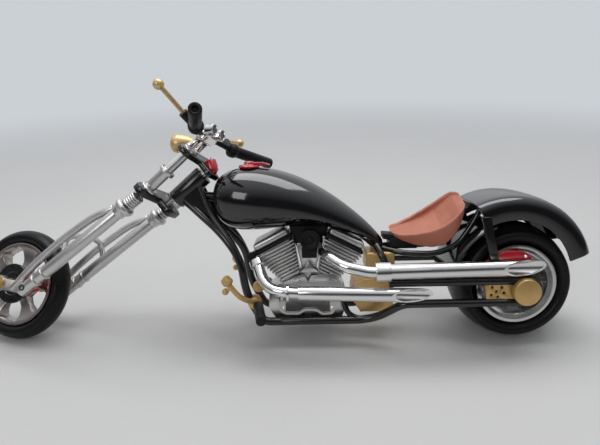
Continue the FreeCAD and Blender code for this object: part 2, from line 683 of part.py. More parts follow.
def build():
    """All nodes as {name: shape}, in the row's own frame, with the placements used."""
    settled = settle()
    steered = FORK.multiply(TURN)
    frame = {
        "frame_neck": frame_neck(), "frame_backbone": frame_backbone(),
        "down_tubes": pair(down_tube), "lower_rails": lower_rails(settled), "axle_rails": pair(axle_rail),
        "seat_posts": pair(seat_post), "seat_rails": pair(seat_rail),
        "fuel_tank": fuel_tank(), "fuel_cap": fuel_cap(), "seat": seat(), "seat_base": seat_base(),
        "rear_fender": rear_fender(), "fender_struts": pair(fender_strut),
        "crankcase": crankcase(), "engine_cover": engine_cover(),
        "front_cylinder": cylinder(FRONT_FOOT, CYLINDER_TILT),
        "rear_cylinder": cylinder(REAR_FOOT, -CYLINDER_TILT),
        "cylinder_heads": several([head_cover(FRONT_FOOT, CYLINDER_TILT),
                                   head_cover(REAR_FOOT, -CYLINDER_TILT)]),
        "air_cleaner": air_cleaner(), "gearbox": gearbox(), "oil_tank": oil_tank(),
        "exhaust_upper": exhaust_upper(), "exhaust_lower": exhaust_lower(),
        "rear_axle": rear_axle(), "rear_caliper": rear_caliper(),
        "foot_controls": pair(foot_control), "foot_pegs": pair(foot_peg),
    }
    fork = {
        "steering_stem": steering_stem(), "lower_clamp": lower_clamp(), "upper_clamp": upper_clamp(),
        "upper_tubes": pair(upper_tube), "fork_legs": pair(fork_leg), "fork_collars": pair(fork_collar),
        "fork_springs": pair(fork_spring), "front_bars": pair(front_bar), "rockers": pair(rocker),
        "front_axle": front_axle(), "front_caliper": front_caliper(), "fork_brace": fork_brace(),
        "headlight": headlight(), "handlebar_riser": handlebar_riser(), "handlebar": pair(half_bar),
        "grips": pair(grip), "levers": pair(lever), "gauges": gauges(), "marker_lamp": marker_lamp(),
    }
    rear_wheel = {"rear_rim": rear_rim(), "rear_tyre": rear_tyre(), "rear_disc": rear_disc(),
                  "rear_pulley": rear_pulley()}
    front_wheel = {"front_rim": front_rim(), "front_tyre": front_tyre(), "front_disc": front_disc()}
    rear_place = FreeCAD.Placement(V(0, 0, AXLE_Z), FreeCAD.Rotation())
    front_place = FreeCAD.Placement(AXLE_POINT, FreeCAD.Rotation())
    groups = [(frame, settled), (fork, settled.multiply(steered)),
              (rear_wheel, settled.multiply(rear_place)),
              (front_wheel, settled.multiply(steered).multiply(front_place)),
              ({"side_stand": side_stand(settled)}, settled)]
    nodes = {}
    for pieces, place in groups:
        for name, shape in pieces.items():
            nodes[name] = placed(trimmed(name, pieces), place)
    box = FreeCAD.BoundBox()
    for shape in nodes.values():
        box.add(shape.optimalBoundingBox(False, False))
    shift = V(-box.Center.x, -box.Center.y, -box.ZMin)
    for shape in nodes.values():
        shape.translate(shift)
    settled.Base = settled.Base + shift
    return nodes, settled, box


def placed(shape, place):
    moved = shape.copy()
    moved.Placement = place.multiply(moved.Placement)
    return moved


def main():
    nodes, settled, box = build()
    os.makedirs("parts", exist_ok=True)
    for name, shape in nodes.items():
        shape.exportStep("parts/%s.step" % name)
    print("%d nodes, %.1f x %.1f x %.1f mm" % (len(nodes), box.XLength, box.YLength, box.ZLength))


main()
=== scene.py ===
import bpy
import json
import math
from mathutils import Matrix, Vector


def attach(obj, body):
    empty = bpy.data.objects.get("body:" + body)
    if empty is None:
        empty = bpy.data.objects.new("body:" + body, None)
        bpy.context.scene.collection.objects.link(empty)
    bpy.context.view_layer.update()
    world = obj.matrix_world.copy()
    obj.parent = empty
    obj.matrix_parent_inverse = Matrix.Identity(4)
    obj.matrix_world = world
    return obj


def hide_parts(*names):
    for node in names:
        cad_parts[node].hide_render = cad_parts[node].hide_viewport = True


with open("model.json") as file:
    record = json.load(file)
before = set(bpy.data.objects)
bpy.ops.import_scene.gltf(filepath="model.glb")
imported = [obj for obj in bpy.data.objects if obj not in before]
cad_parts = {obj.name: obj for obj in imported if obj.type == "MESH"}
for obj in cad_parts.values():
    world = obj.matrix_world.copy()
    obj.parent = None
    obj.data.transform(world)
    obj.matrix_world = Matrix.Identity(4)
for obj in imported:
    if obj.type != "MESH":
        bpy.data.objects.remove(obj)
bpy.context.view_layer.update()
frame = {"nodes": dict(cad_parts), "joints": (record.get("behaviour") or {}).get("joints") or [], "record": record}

# ----- The toy's own axes: ahead, left and up, upright and before it leans on its stand -----

MM = 0.001
HEAD_ANGLE = math.radians(41)          # the steering axis above the level
AXLE_HEIGHT = 30 * MM                  # the rear axle above the toy's own base line
JOINTS = {joint["name"]: joint for joint in frame["joints"]}


def joint_axis(name):
    return Vector(JOINTS[name]["axis"]).normalized()


def joint_place(name):
    return Vector(JOINTS[name]["pos_m"])


def placing(origin, ahead, left, up):
    """The matrix from one set of the toy's axes to the world."""
    return Matrix.Translation(origin) @ Matrix((ahead, left, up)).transposed().to_4x4()


def at(ahead, left, up):
    """A move, in millimetres."""
    return Matrix.Translation((ahead * MM, left * MM, up * MM))


def turn(degrees, axis):
    return Matrix.Rotation(math.radians(degrees), 4, axis)


def towards(way):
    """The turn that makes an upright piece's top look along a way."""
    return Vector(way).to_track_quat("Z", "Y").to_matrix().to_4x4()


LEFT = joint_axis("rear_wheel_spin")
STEER_UP = joint_axis("steering")
SQUARE = LEFT.cross(STEER_UP)
AHEAD = STEER_UP * -math.cos(HEAD_ANGLE) + SQUARE * math.sin(HEAD_ANGLE)
UP = STEER_UP * math.sin(HEAD_ANGLE) + SQUARE * math.cos(HEAD_ANGLE)
FORK_LEFT = joint_axis("front_wheel_spin")
FORK_AHEAD = FORK_LEFT.cross(STEER_UP)
HEAD = joint_place("steering")

BIKE = placing(joint_place("rear_wheel_spin") - UP * AXLE_HEIGHT, AHEAD, LEFT, UP)
FORK = placing(HEAD, FORK_AHEAD, FORK_LEFT, STEER_UP)
REAR_HUB = placing(joint_place("rear_wheel_spin"), AHEAD, LEFT, UP)
FRONT_HUB = placing(joint_place("front_wheel_spin"), FORK_AHEAD, FORK_LEFT, STEER_UP)
ACROSS = turn(-90, "X")                # an upright piece laid along the toy's left


# ----- Finishes -----

def fed(tree, node, inputs):
    """A shader node's inputs linked to other nodes or given their values."""
    for key, value in inputs.items():
        if isinstance(value, bpy.types.NodeSocket):
            tree.links.new(value, node.inputs[key])
        else:
            node.inputs[key].default_value = value


def shader_node(tree, kind, inputs=None, **settings):
    """A new node of a finish or of the room, with its settings and its inputs."""
    made = tree.nodes.new("ShaderNode" + kind)
    for key, value in settings.items():
        setattr(made, key, value)
    fed(tree, made, inputs or {})
    return made


NOISE_LOW, NOISE_HIGH = 0.3, 0.7       # the span of a noise that a finish makes use of
BROAD = 0.12                           # the scale of the colour's patches against the grain's
COAT_ROUGH = 0.05
LEAST_ROUGH = 0.02
RELIEF = 0.35                          # how strongly the grain stands out where a finish has relief


def finish(name, colour, metal=0.0, rough=0.3, spread=0.06, grain=400.0, bump=0.0, tint=0.06, coat=0.0,
           specular=0.5):
    """One finish of the toy: a base colour that varies a little, an uneven gloss and a fine grain."""
    made = bpy.data.materials.new(name)
    made.use_nodes = True
    tree = made.node_tree
    shader = tree.nodes["Principled BSDF"]
    place = shader_node(tree, "TexCoord").outputs["Object"]
    broad = shader_node(tree, "TexNoise", {"Vector": place, "Scale": grain * BROAD, "Detail": 4})
    ramp = shader_node(tree, "ValToRGB", {"Fac": broad.outputs["Fac"]})
    for stop, noise, factor in zip(ramp.color_ramp.elements, (NOISE_LOW, NOISE_HIGH), (1 - tint, 1 + tint)):
        stop.position = noise
        stop.color = (*[min(1, part * factor) for part in colour], 1)
    fine = shader_node(tree, "TexNoise", {"Vector": place, "Scale": grain, "Detail": 6}).outputs["Fac"]
    gloss = shader_node(tree, "MapRange", {
        "Value": fine, "From Min": NOISE_LOW, "From Max": NOISE_HIGH,
        "To Min": max(LEAST_ROUGH, rough - spread), "To Max": rough + spread})
    fed(tree, shader, {"Metallic": metal, "Specular IOR Level": specular, "Coat Weight": coat,
                       "Coat Roughness": COAT_ROUGH, "Base Color": ramp.outputs["Color"],
                       "Roughness": gloss.outputs["Result"]})
    if bump:
        relief = shader_node(tree, "Bump", {"Height": fine, "Strength": RELIEF, "Distance": bump})
        fed(tree, shader, {"Normal": relief.outputs["Normal"]})
    return made


GLOSS_BLACK = finish("gloss black paint", (0.0045, 0.0045, 0.0050), rough=0.12, spread=0.02, coat=0.6)
FRAME_BLACK = finish("frame black paint", (0.0055, 0.0055, 0.0060), rough=0.20, spread=0.04, coat=0.3)
CHROME = finish("bright plating", (0.78, 0.78, 0.77), metal=1.0, rough=0.17, spread=0.03, grain=160)
CAST_SILVER = finish("cast silver", (0.60, 0.60, 0.59), metal=1.0, rough=0.30, spread=0.04, grain=300)
SATIN_SILVER = finish("satin silver", (0.62, 0.61, 0.60), metal=1.0, rough=0.36, spread=0.03, grain=240)
RIM_SILVER = finish("rim silver", (0.62, 0.62, 0.61), metal=1.0, rough=0.24, spread=0.03, grain=160)
WARM_SILVER = finish("front rim silver", (0.44, 0.40, 0.38), metal=1.0, rough=0.30, spread=0.04, grain=160)
GOLD = finish("gold paint", (0.60, 0.39, 0.15), metal=0.55, rough=0.36, spread=0.06, tint=0.1,
              bump=0.00004)
PALE_GOLD = finish("pale gold paint", (0.66, 0.47, 0.22), metal=0.5, rough=0.34, spread=0.02, grain=150,
                   tint=0.03)
RED = finish("red lacquer", (0.46, 0.010, 0.018), rough=0.22, spread=0.05, coat=0.7)
COVER_PLATE = finish("engine plating", (0.47, 0.45, 0.43), metal=1.0, rough=0.19, spread=0.03, grain=160)
BLACK_PLASTIC = finish("black plastic", (0.010, 0.010, 0.011), rough=0.44, spread=0.08, specular=0.2,
                       bump=0.00005)
DARK_FACE = finish("dark gauge face", (0.010, 0.011, 0.014), rough=0.2, spread=0.04, coat=0.6)
SEAT_BROWN = finish("terracotta plastic", (0.47, 0.165, 0.105), rough=0.52, spread=0.07, grain=700,
                    bump=0.00004, tint=0.09)
RUBBER = finish("tyre rubber", (0.009, 0.009, 0.010), rough=0.32, spread=0.05, specular=0.16, bump=0.00003)
FLOOR = finish("pale floor", (0.60, 0.60, 0.595), rough=0.6, spread=0.05, grain=60, tint=0.02)

SLOT_FINISH = {"black_gloss": FRAME_BLACK, "silver": CAST_SILVER, "chrome": CHROME, "gold": GOLD,
               "red": RED, "black_plastic": BLACK_PLASTIC, "seat_cover": SEAT_BROWN, "rubber": RUBBER}
OWN_FINISH = {"fuel_tank": GLOSS_BLACK, "fork_legs": SATIN_SILVER, "upper_tubes": SATIN_SILVER,
              "front_bars": SATIN_SILVER}
NODE_SLOT = {row["node"]: row["material_slot"] for row in frame["record"]["subparts"]}
NODE_BODY = {node: body for body, members in frame["record"]["behaviour"]["bodies"].items()
             for node in members}


# ----- Working by hand: selecting, shaping, placing and finishing a piece -----

SAME_PLACE = 0.01 * MM                 # corners nearer than this are one


def start():
    """Nothing selected, in object mode."""
    if bpy.context.object and bpy.context.object.mode != "OBJECT":
        bpy.ops.object.mode_set(mode="OBJECT")
    bpy.ops.object.select_all(action="DESELECT")


def take(piece):
    """One piece selected and active, in object mode."""
    start()
    piece.select_set(True)
    bpy.context.view_layer.objects.active = piece


def edit(piece, kind="FACE", action="SELECT"):
    """A piece in edit mode, with all of its faces, edges or corners selected, or none of them."""
    take(piece)
    bpy.ops.object.mode_set(mode="EDIT")
    bpy.ops.mesh.select_mode(type=kind)
    bpy.ops.mesh.select_all(action=action)


def extruded(ahead, left, up):
    """What is selected, pulled out by a move in millimetres."""
    bpy.ops.mesh.extrude_region_move(TRANSFORM_OT_translate={"value": (ahead * MM, left * MM, up * MM)})


def applied(piece, kind, **values):
    """A modifier put on the piece and applied."""
    take(piece)
    modifier = piece.modifiers.new(kind.lower(), kind)
    for key, value in values.items():
        setattr(modifier, key, value)
    bpy.ops.object.modifier_apply(modifier=modifier.name)


def rounded(piece, width, segments=2, degrees=32):
    """The piece's edges softened by a width in millimetres, and its flats kept flat."""
    applied(piece, "BEVEL", width=width * MM, segments=segments, limit_method="ANGLE",
            angle_limit=math.radians(degrees), use_clamp_overlap=True, harden_normals=False)
    return piece


def outward(piece):
    """The faces turned to point out of the piece."""
    edit(piece)
    bpy.ops.mesh.normals_make_consistent(inside=False)
    bpy.ops.object.mode_set(mode="OBJECT")


def set_in(piece, place):
    """The piece moved by a matrix, with its place in its mesh."""
    take(piece)
    piece.matrix_world = place @ piece.matrix_world
    bpy.ops.object.transform_apply(location=True, rotation=True, scale=True)
    return piece


def joined(pieces):
    """Several pieces as one."""
    start()
    for piece in pieces:
        piece.select_set(True)
    bpy.context.view_layer.objects.active = pieces[0]
    if len(pieces) > 1:
        bpy.ops.object.join()
    return bpy.context.object


def copied(piece):
    """A copy with its own mesh."""
    twin = piece.copy()
    twin.data = piece.data.copy()
    bpy.context.scene.collection.objects.link(twin)
    return twin


def finished(pieces, place, smooth_at, name, body, look, node=None):
    """Pieces made one, placed, smoothed up to an angle in degrees, named (after their node if no name is
    given), painted and put on the body that carries them, with the node they stand for hidden."""
    piece = joined(pieces)
    if place is not None:
        set_in(piece, place)
    take(piece)
    bpy.ops.object.shade_smooth_by_angle(angle=math.radians(smooth_at))
    piece.name = piece.data.name = name or node.replace("_", "-")
    piece.data.materials.clear()
    piece.data.materials.append(look)
    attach(piece, body)
    if node:
        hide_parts(node)
    start()


# ----- The solids with their edges softened -----

def merged(node):
    """A copy of a solid with its loose triangles merged and its flat faces whole."""
    piece = copied(frame["nodes"][node])
    piece.parent = None
    for key in list(piece.keys()):
        del piece[key]
    edit(piece)
    bpy.ops.mesh.remove_doubles(threshold=2 * SAME_PLACE)
    bpy.ops.mesh.dissolve_limited(angle_limit=math.radians(0.6))
    return piece


#  the solids that are shown in their own shape, and the width of their softened edges in millimetres
SOFT_EDGE = {
    "axle_rails": 0.25, "crankcase": 0.7, "down_tubes": 0.25, "exhaust_upper": 0.35, "fender_struts": 0.25,
    "foot_pegs": 0.5, "fork_legs": 0.25, "frame_backbone": 0.25, "frame_neck": 0.25, "front_axle": 0.5,
    "front_bars": 0.25, "front_caliper": 0.5, "fuel_tank": 0.8, "grips": 0.7, "handlebar": 0.25,
    "lower_rails": 0.25, "rear_axle": 0.5, "rear_pulley": 0.25, "rockers": 0.5, "seat_base": 0.5,
    "seat_posts": 0.25, "seat_rails": 0.25, "side_stand": 0.4, "steering_stem": 0.25, "upper_tubes": 0.25,
}
for node, width in SOFT_EDGE.items():
    finished([rounded(merged(node), width)], None, 38, None, NODE_BODY[node],
             OWN_FINISH.get(node, SLOT_FINISH[NODE_SLOT[node]]), node)


# ----- Turned pieces, drawn outlines, bars and holes, all in millimetres -----

def turned(rings, sides=40):
    """A turned piece about the upright: each (radius, height) is the next step of its side."""
    start()
    radius, height = rings[0]
    bpy.ops.mesh.primitive_circle_add(vertices=sides, radius=radius * MM, fill_type="NGON",
                                      location=(0, 0, height * MM))
    piece = bpy.context.object
    bpy.ops.object.transform_apply(location=True)
    edit(piece)
    for next_radius, next_height in rings[1:]:
        extruded(0, 0, next_height - height)
        factor = next_radius / radius
        bpy.ops.transform.resize(value=(factor, factor, 1), center_override=(0, 0, next_height * MM))
        radius, height = next_radius, next_height
    outward(piece)
    return piece


def drawn(points):
    """A flat face drawn corner by corner, each pulled out from the last one, and filled."""
    start()
    bpy.ops.mesh.primitive_plane_add(size=MM)
    piece = bpy.context.object
    edit(piece, "VERT")
    bpy.ops.mesh.merge(type="CENTER")
    bpy.ops.mesh.select_all(action="SELECT")
    corners = [Vector([value * MM for value in point]) for point in points]
    bpy.ops.transform.translate(value=corners[0])
    for last, corner in zip(corners, corners[1:]):
        bpy.ops.mesh.extrude_region_move(TRANSFORM_OT_translate={"value": corner - last})
    bpy.ops.mesh.select_all(action="SELECT")
    bpy.ops.mesh.edge_face_add()
    bpy.ops.mesh.select_all(action="SELECT")
    return piece


def slab(points, ahead, left, up):
    """A drawn outline pulled out by a move."""
    piece = drawn(points)
    extruded(ahead, left, up)
    outward(piece)
    return piece


def plate(outline, low, high):
    """A flat piece: an outline of (ahead, up) from one place across the toy to another."""
    return slab([(ahead, low, up) for ahead, up in outline], 0, high - low, 0)


def block(aheads, lefts, ups):
    """A plain block to be shaped further, from (low, high) in each direction."""
    start()
    middle = [(low + high) / 2 * MM for low, high in (aheads, lefts, ups)]
    bpy.ops.mesh.primitive_cube_add(size=1, location=middle)
    piece = bpy.context.object
    piece.scale = [(high - low) * MM for low, high in (aheads, lefts, ups)]
    bpy.ops.object.transform_apply(location=True, rotation=True, scale=True)
    return piece


def bar(points, radius):
    """A round bar bent smoothly through its points, with closed ends."""
    start()
    bpy.ops.curve.primitive_nurbs_path_add()
    path = bpy.context.object
    path.data.splines.clear()
    run = path.data.splines.new("NURBS")
    run.points.add(len(points) - 1)
    for knot, point in zip(run.points, points):
        knot.co = (*[value * MM for value in point], 1)
    run.order_u = 3
    run.use_endpoint_u = True
    run.resolution_u = 8
    path.data.bevel_depth = radius * MM
    path.data.bevel_resolution = 4
    path.data.use_fill_caps = True
    bpy.ops.object.convert(target="MESH")
    piece = bpy.context.object
    edit(piece)
    bpy.ops.mesh.remove_doubles(threshold=SAME_PLACE)
    outward(piece)
    return piece


def cut(piece, tools, operation="DIFFERENCE"):
    """Other pieces taken out of a piece, or the part that it shares with them kept."""
    for tool in tools:
        applied(piece, "BOOLEAN", operation=operation, solver="EXACT", object=tool)
        bpy.data.objects.remove(tool)


def drilled(piece, places, radius, low, high, sides):
    """Round holes across the toy cut through a piece."""
    cut(piece, [joined([set_in(turned([(radius, low), (radius, high)], sides), place @ ACROSS)
                        for place in places])])


def mirrored(line):
    """An outline of (ahead or radius, left) drawn back along the other side."""
    return [(out, -left) for out, left in reversed(line)]


def softened(piece, grain, passes, keep):
    """A piece whose corners are worn round all over, as a moulded one's are."""
    applied(piece, "REMESH", mode="VOXEL", voxel_size=grain * MM, adaptivity=0.0)
    applied(piece, "SMOOTH", factor=0.5, iterations=passes)
    applied(piece, "DECIMATE", ratio=keep)


def select_facing(piece, way):
    """The faces that look one way are selected, in edit mode."""
    edit(piece, action="DESELECT")
    bpy.ops.object.mode_set(mode="OBJECT")
    for face in piece.data.polygons:
        face.select = face.normal.dot(Vector(way)) > 0.95
    bpy.ops.object.mode_set(mode="EDIT")


def rounded_corners(piece, width):
    """The edges that run across the toy are rounded."""
    edit(piece, "EDGE", "DESELECT")
    bpy.ops.object.mode_set(mode="OBJECT")
    corners = piece.data.vertices
    for edge in piece.data.edges:
        along = corners[edge.vertices[0]].co - corners[edge.vertices[1]].co
        edge.select = abs(along.normalized().y) > 0.99
    bpy.ops.object.mode_set(mode="EDIT")
    bpy.ops.mesh.bevel(offset=width * MM, segments=4, clamp_overlap=True)
    bpy.ops.object.mode_set(mode="OBJECT")


SCREW_RINGS = [(0.9, -0.4), (0.95, 0.15), (0.75, 0.42), (0.35, 0.42), (0.32, 0.2)]


def outwards(side):
    """The turn that lays an upright piece across the toy, its top to that side."""
    return turn(-90 if side > 0 else 90, "X")


def screws(name, spots, scale):
    """Small domed screw heads with a socket, at spots (ahead, left, up) on the frame, facing outwards."""
    first = turned([(radius * scale, height * scale) for radius, height in SCREW_RINGS], 16)
    heads = [set_in(copied(first), BIKE @ at(*spot) @ outwards(spot[1])) for spot in spots]
    bpy.data.objects.remove(first)
    finished(heads, None, 40, name, "frame", CHROME)


# ----- Wheels -----

#  the right half of a turned wheel's outside, from its hub to its rim: radius, left
REAR_RIM_RINGS = [(4.0, -15), (6.2, -15), (6.6, -10), (7.4, -8.6), (12.5, -9.6), (17.0, -12.4),
                  (17.8, -14.0), (18.4, -15.8), (20.2, -15.8)]
FRONT_RIM_RINGS = [(2.6, -6.4), (4.6, -6.4), (4.9, -4.0), (6.0, -3.0), (13.0, -1.8), (20.2, -3.4),
                   (20.8, -4.4), (22.6, -4.6)]
#  a window's corners: radius, half width
REAR_WINDOW = [(8.6, 1.7), (16.4, 5.2)]
FRONT_WINDOW = [(6.6, 1.9), (11.0, 4.9), (16.0, 6.9), (20.0, 6.2)]
WINDOWS = 5


def wheel(node, hub, rings, window, look, first_at):
    """A dished wheel with windows cut through it."""
    rim = set_in(turned(rings + mirrored(rings), 120), ACROSS)
    tools = []
    for step in range(WINDOWS):
        tool = plate(window + mirrored(window), -20, 20)
        rounded_corners(tool, 1.1)
        tools.append(set_in(tool, turn(first_at + 360 / WINDOWS * step, "Y")))
    cut(rim, tools)
    rounded(rim, 0.22, 2, 34)
    finished([rim], hub, 34, None, NODE_BODY[node], look, node)


def tyre(node, hub, inner, outer, half, square, crown):
    """A smooth round tyre between two radii, spun round the wheel's axle. Its section is half as wide as
    half says, fuller than an ellipse by square, and its tread is crowned to a radius."""
    start()
    bpy.ops.mesh.primitive_circle_add(vertices=40, radius=1, fill_type="NOTHING")
    piece = bpy.context.object
    for corner in piece.data.vertices:
        x, y = corner.co.x, corner.co.y
        fuller = (abs(x) ** square + abs(y) ** square) ** (-1 / square)
        left = y * fuller * half
        out = min((outer + inner) / 2 + x * fuller * (outer - inner) / 2,
                  outer - crown + math.sqrt(max(crown ** 2 - left ** 2, 0)))
        corner.co = (out * MM, left * MM, 0)
    edit(piece, "VERT")
    bpy.ops.mesh.spin(steps=128, angle=math.tau, center=(0, 0, 0), axis=(0, 1, 0), use_auto_merge=True)
    bpy.ops.mesh.select_all(action="SELECT")
    bpy.ops.mesh.remove_doubles(threshold=SAME_PLACE)
    outward(piece)
    finished([piece], hub, 60, None, NODE_BODY[node], RUBBER, node)


def drilled_disc(node, hub, rings, sides, holes, hole_radius, ring_radius, from_left):
    """A small dark brake disc beside a rim, with a ring of holes near its edge."""
    disc = set_in(turned(rings, sides), ACROSS)
    drilled(disc, [turn(360 * step / holes, "Y") @ at(ring_radius, from_left, 0) for step in range(holes)],
            hole_radius, 0, 6, 12)
    finished([disc], hub, 34, None, NODE_BODY[node], FRAME_BLACK, node)


FRONT_DISC_RINGS = [(1.8, 6.5), (10.6, 6.5), (10.8, 6.7), (10.8, 7.7), (10.6, 7.9), (6.4, 7.9), (6.0, 7.5),
                    (3.6, 7.5), (3.4, 7.9), (1.8, 7.9)]
#  the rear disc's steps behind its outer face: radius, depth
REAR_DISC_STEPS = [(3.0, 1.9), (10.4, 1.9), (10.6, 1.7), (10.6, 0.3), (10.4, 0.1), (7.4, 0.1), (7.0, 0.5),
                   (4.4, 0.5), (4.2, 0), (3.0, 0)]
TO_REAR_HUB = REAR_HUB.inverted()
REAR_DISC_FACE = max((TO_REAR_HUB @ v.co).y for v in frame["nodes"]["rear_disc"].data.vertices) / MM

tyre("rear_tyre", REAR_HUB, 19.8, 30.0, 17.0, 2.5, 45.0)
tyre("front_tyre", FRONT_HUB, 22.2, 30.0, 5.6, 2.1, 6.5)
wheel("rear_rim", REAR_HUB, REAR_RIM_RINGS, REAR_WINDOW, RIM_SILVER, 18)
wheel("front_rim", FRONT_HUB, FRONT_RIM_RINGS, FRONT_WINDOW, WARM_SILVER, -20)
drilled_disc("front_disc", FRONT_HUB, FRONT_DISC_RINGS, 64, 10, 0.6, 8.8, 4)
drilled_disc("rear_disc", REAR_HUB, [(radius, REAR_DISC_FACE - depth) for radius, depth in REAR_DISC_STEPS],
             72, 12, 0.55, 8.9, REAR_DISC_FACE - 4)


# ----- Seat, fender and tank top -----

#  the pan's underside and its rim in side view, before it is rolled: ahead, up
SEAT_UNDER = [(61.8, 55.4), (57.0, 53.3), (50.0, 52.2), (42.0, 52.2), (36.0, 54.2), (31.0, 59.2),
              (27.5, 65.6), (25.4, 72.6)]
SEAT_RIM = [(62.2, 57.0), (57.0, 56.6), (50.0, 58.6), (43.0, 61.6), (37.0, 65.2), (32.4, 69.2), (29.2, 72.4),
            (26.4, 74.2)]
SEAT_DEPTHS = (0.5, 0.9, 2.4, 3.4, 3.6, 2.8, 1.4, 0.9)         # of the dish below each point of the rim
#  the pan from above: ahead, half width
SEAT_PLAN = [(62.8, 2.2), (60.0, 5.2), (55.0, 7.8), (50.0, 9.8), (45.0, 11.6), (41.0, 12.8), (37.0, 13.4),
             (34.0, 13.3), (31.0, 12.6), (28.6, 11.0), (26.8, 8.2), (25.4, 4.0)]
SEAT_WALL = 2.2
SEAT_TIP = 0.8                              # the least half width of an outline that is drawn in
SEAT_ROLL, SEAT_ROLL_UP = 19.0, 57.0        # degrees, the left edge is the lower one, and its axis
STRAP = [(16.5, 69.5), (21.5, 70.2), (22.8, 68.2), (31.5, 64.2), (30.5, 61.0), (20.0, 66.2)]
NOSE_STRAP = [(50, 51.0), (50, 53.4), (60, 54.4), (66, 55.0), (66, 52.0), (58, 50.6)]


def seat_outline(inset):
    """The pan's outline from above as a tall block, drawn in by the inset."""
    left = [(ahead, max(half - inset, SEAT_TIP), 30) for ahead, half in SEAT_PLAN]
    right = [(ahead, -half, up) for ahead, half, up in reversed(left)]
    return slab(left + right, 0, 0, 80)


def seat():
    """The moulded pan with a shallow dish in its top, rolled to the left, and the straps that hold it."""
    pan = plate(SEAT_UNDER + SEAT_RIM[::-1], -20, 20)
    cut(pan, [seat_outline(0)], "INTERSECT")
    floor_line = [(ahead, up - depth) for (ahead, up), depth in zip(SEAT_RIM, SEAT_DEPTHS)]
    dish = plate(floor_line + [(20, 110), (70, 110)], -20, 20)
    cut(dish, [seat_outline(SEAT_WALL)], "INTERSECT")
    cut(pan, [dish])
    softened(pan, 0.4, 16, 0.4)
    set_in(pan, at(0, 0, SEAT_ROLL_UP) @ turn(-SEAT_ROLL, "X") @ at(0, 0, -SEAT_ROLL_UP))
    finished([pan], BIKE, 80, "seat-pan", "frame", SEAT_BROWN, "seat")
    finished([rounded(plate(STRAP, -5, 5), 0.5, 3), rounded(plate(NOSE_STRAP, -4, 4), 0.5, 3)], BIKE, 40,
             "seat-straps", "frame", BLACK_PLASTIC)


MUDGUARD_SIDE = 15                     # the wall goes inwards from a mudguard's side past this


def mudguard(half_line, wall, crown_from, sweep, steps):
    """A mudguard: half of its section mirrored, given its wall and spun about the axle."""
    outer = half_line + mirrored(half_line[:-1])
    inner = []
    for radius, left in reversed(outer):
        inwards = math.copysign(wall, left) * (abs(left) > MUDGUARD_SIDE)
        inner.append((radius - wall * (radius > crown_from), left - inwards))
    guard = drawn([(radius, left, 0) for radius, left in outer + inner])
    bpy.ops.mesh.spin(steps=steps, angle=math.radians(sweep), center=(0, 0, 0), axis=(0, 1, 0))
    outward(guard)
    return guard


#  half of a mudguard's section: radius from its centre, left
FENDER_LINE = [(28.6, 19.5), (34.4, 19.5), (36.6, 19.2), (38.4, 18.3), (39.6, 16.9), (40.3, 15.0),
               (40.7, 11.0), (40.95, 5.0), (41.0, 0)]
GUARD_LINE = [(31.6, 17.8), (32.6, 18.2), (33.6, 17.4), (34.2, 14.0), (34.4, 7.0), (34.4, 0)]
FENDER_MIDDLE = (3.0, 0, 35.0)
FENDER_FROM, FENDER_SWEEP = 62.0, 104.0       # degrees from ahead, and round to the tail
GUARD_FROM, GUARD_SWEEP = 6.0, 62.0
TAIL_CUT_AT, TAIL_CUT_UP, TAIL_CUT_WAY = -34.5, 46.0, (-0.35, 0, -0.94)


def rear_fender():
    """The fender over the wheel, with its tail trimmed level."""
    fender = mudguard(FENDER_LINE, 1.5, 34, FENDER_SWEEP, 64)
    set_in(fender, at(*FENDER_MIDDLE) @ turn(-FENDER_FROM, "Y"))
    edit(fender)
    bpy.ops.mesh.bisect(plane_co=(TAIL_CUT_AT * MM, 0, TAIL_CUT_UP * MM), plane_no=TAIL_CUT_WAY,
                        use_fill=True, clear_outer=True)
    rounded(fender, 0.35, 2, 50)
    finished([fender], BIKE, 50, "rear-fender", "frame", GLOSS_BLACK, "rear_fender")


def inner_guard():
    """The narrow mudguard that goes on from the fender down the front of the tyre."""
    guard = mudguard(GUARD_LINE, 1.1, 33, GUARD_SWEEP, 40)
    finished([guard], REAR_HUB @ turn(-GUARD_FROM, "Y"), 50, "inner-guard", "frame",
             GLOSS_BLACK)


#  a short tube from the neck to a down tube: ahead, left, up, and the web's edge beside it: ahead, up
NECK_TUBE = [(156.0, 5, 69.5), (149.5, 8, 60.5), (143.5, 11, 53.0), (140.5, 12.6, 46.0)]
WEB_EDGE = [(156.0, 68.5), (149.8, 59.5), (144.0, 51.5), (145.5, 52.5), (149.5, 57.0)]
WEB_NEAR, WEB_FAR = 3.6, 5.0


def neck_web():
    """The short tubes from the neck round the tank's front to the down tubes, with a web inside each."""
    neck = BIKE.inverted() @ HEAD / MM
    rise = Vector((-math.cos(HEAD_ANGLE), 0, math.sin(HEAD_ANGLE)))
    behind = Vector((-2, 0, -1))
    high, low = neck + rise * 4 + behind, neck - rise * 6 + behind
    outline = [(high.x, high.z - 1), *WEB_EDGE, (low.x, low.z)]
    pieces = []
    for side, near, far in ((1, WEB_NEAR, WEB_FAR), (-1, -WEB_FAR, -WEB_NEAR)):
        line = [(ahead, left * side, up) for ahead, left, up in NECK_TUBE]
        pieces += [bar([(high.x, 2.6 * side, high.z), *line], 1.7), plate(outline, near, far)]
    finished(pieces, BIKE, 45, "neck-web", "frame", FRAME_BLACK)


CAP_RINGS = [(4.6, 0), (4.9, 0.3), (4.9, 1.0), (4.4, 1.3), (4.0, 1.4), (5.6, 1.8), (5.9, 2.1), (5.9, 2.7),
             (5.5, 3.0), (3.4, 3.3), (2.9, 3.6), (2.7, 4.6), (2.2, 5.0), (0.6, 5.1)]
CAP_WIDTH = 0.92                       # the cap's width against its rings'
CAP_LEVER = [(0, 3.0), (0, 4.6), (-7, 4.4), (-10.5, 3.4), (-10.8, 2.6), (-8, 2.8)]
CAP_AT = (134.6, 0, 88.4)


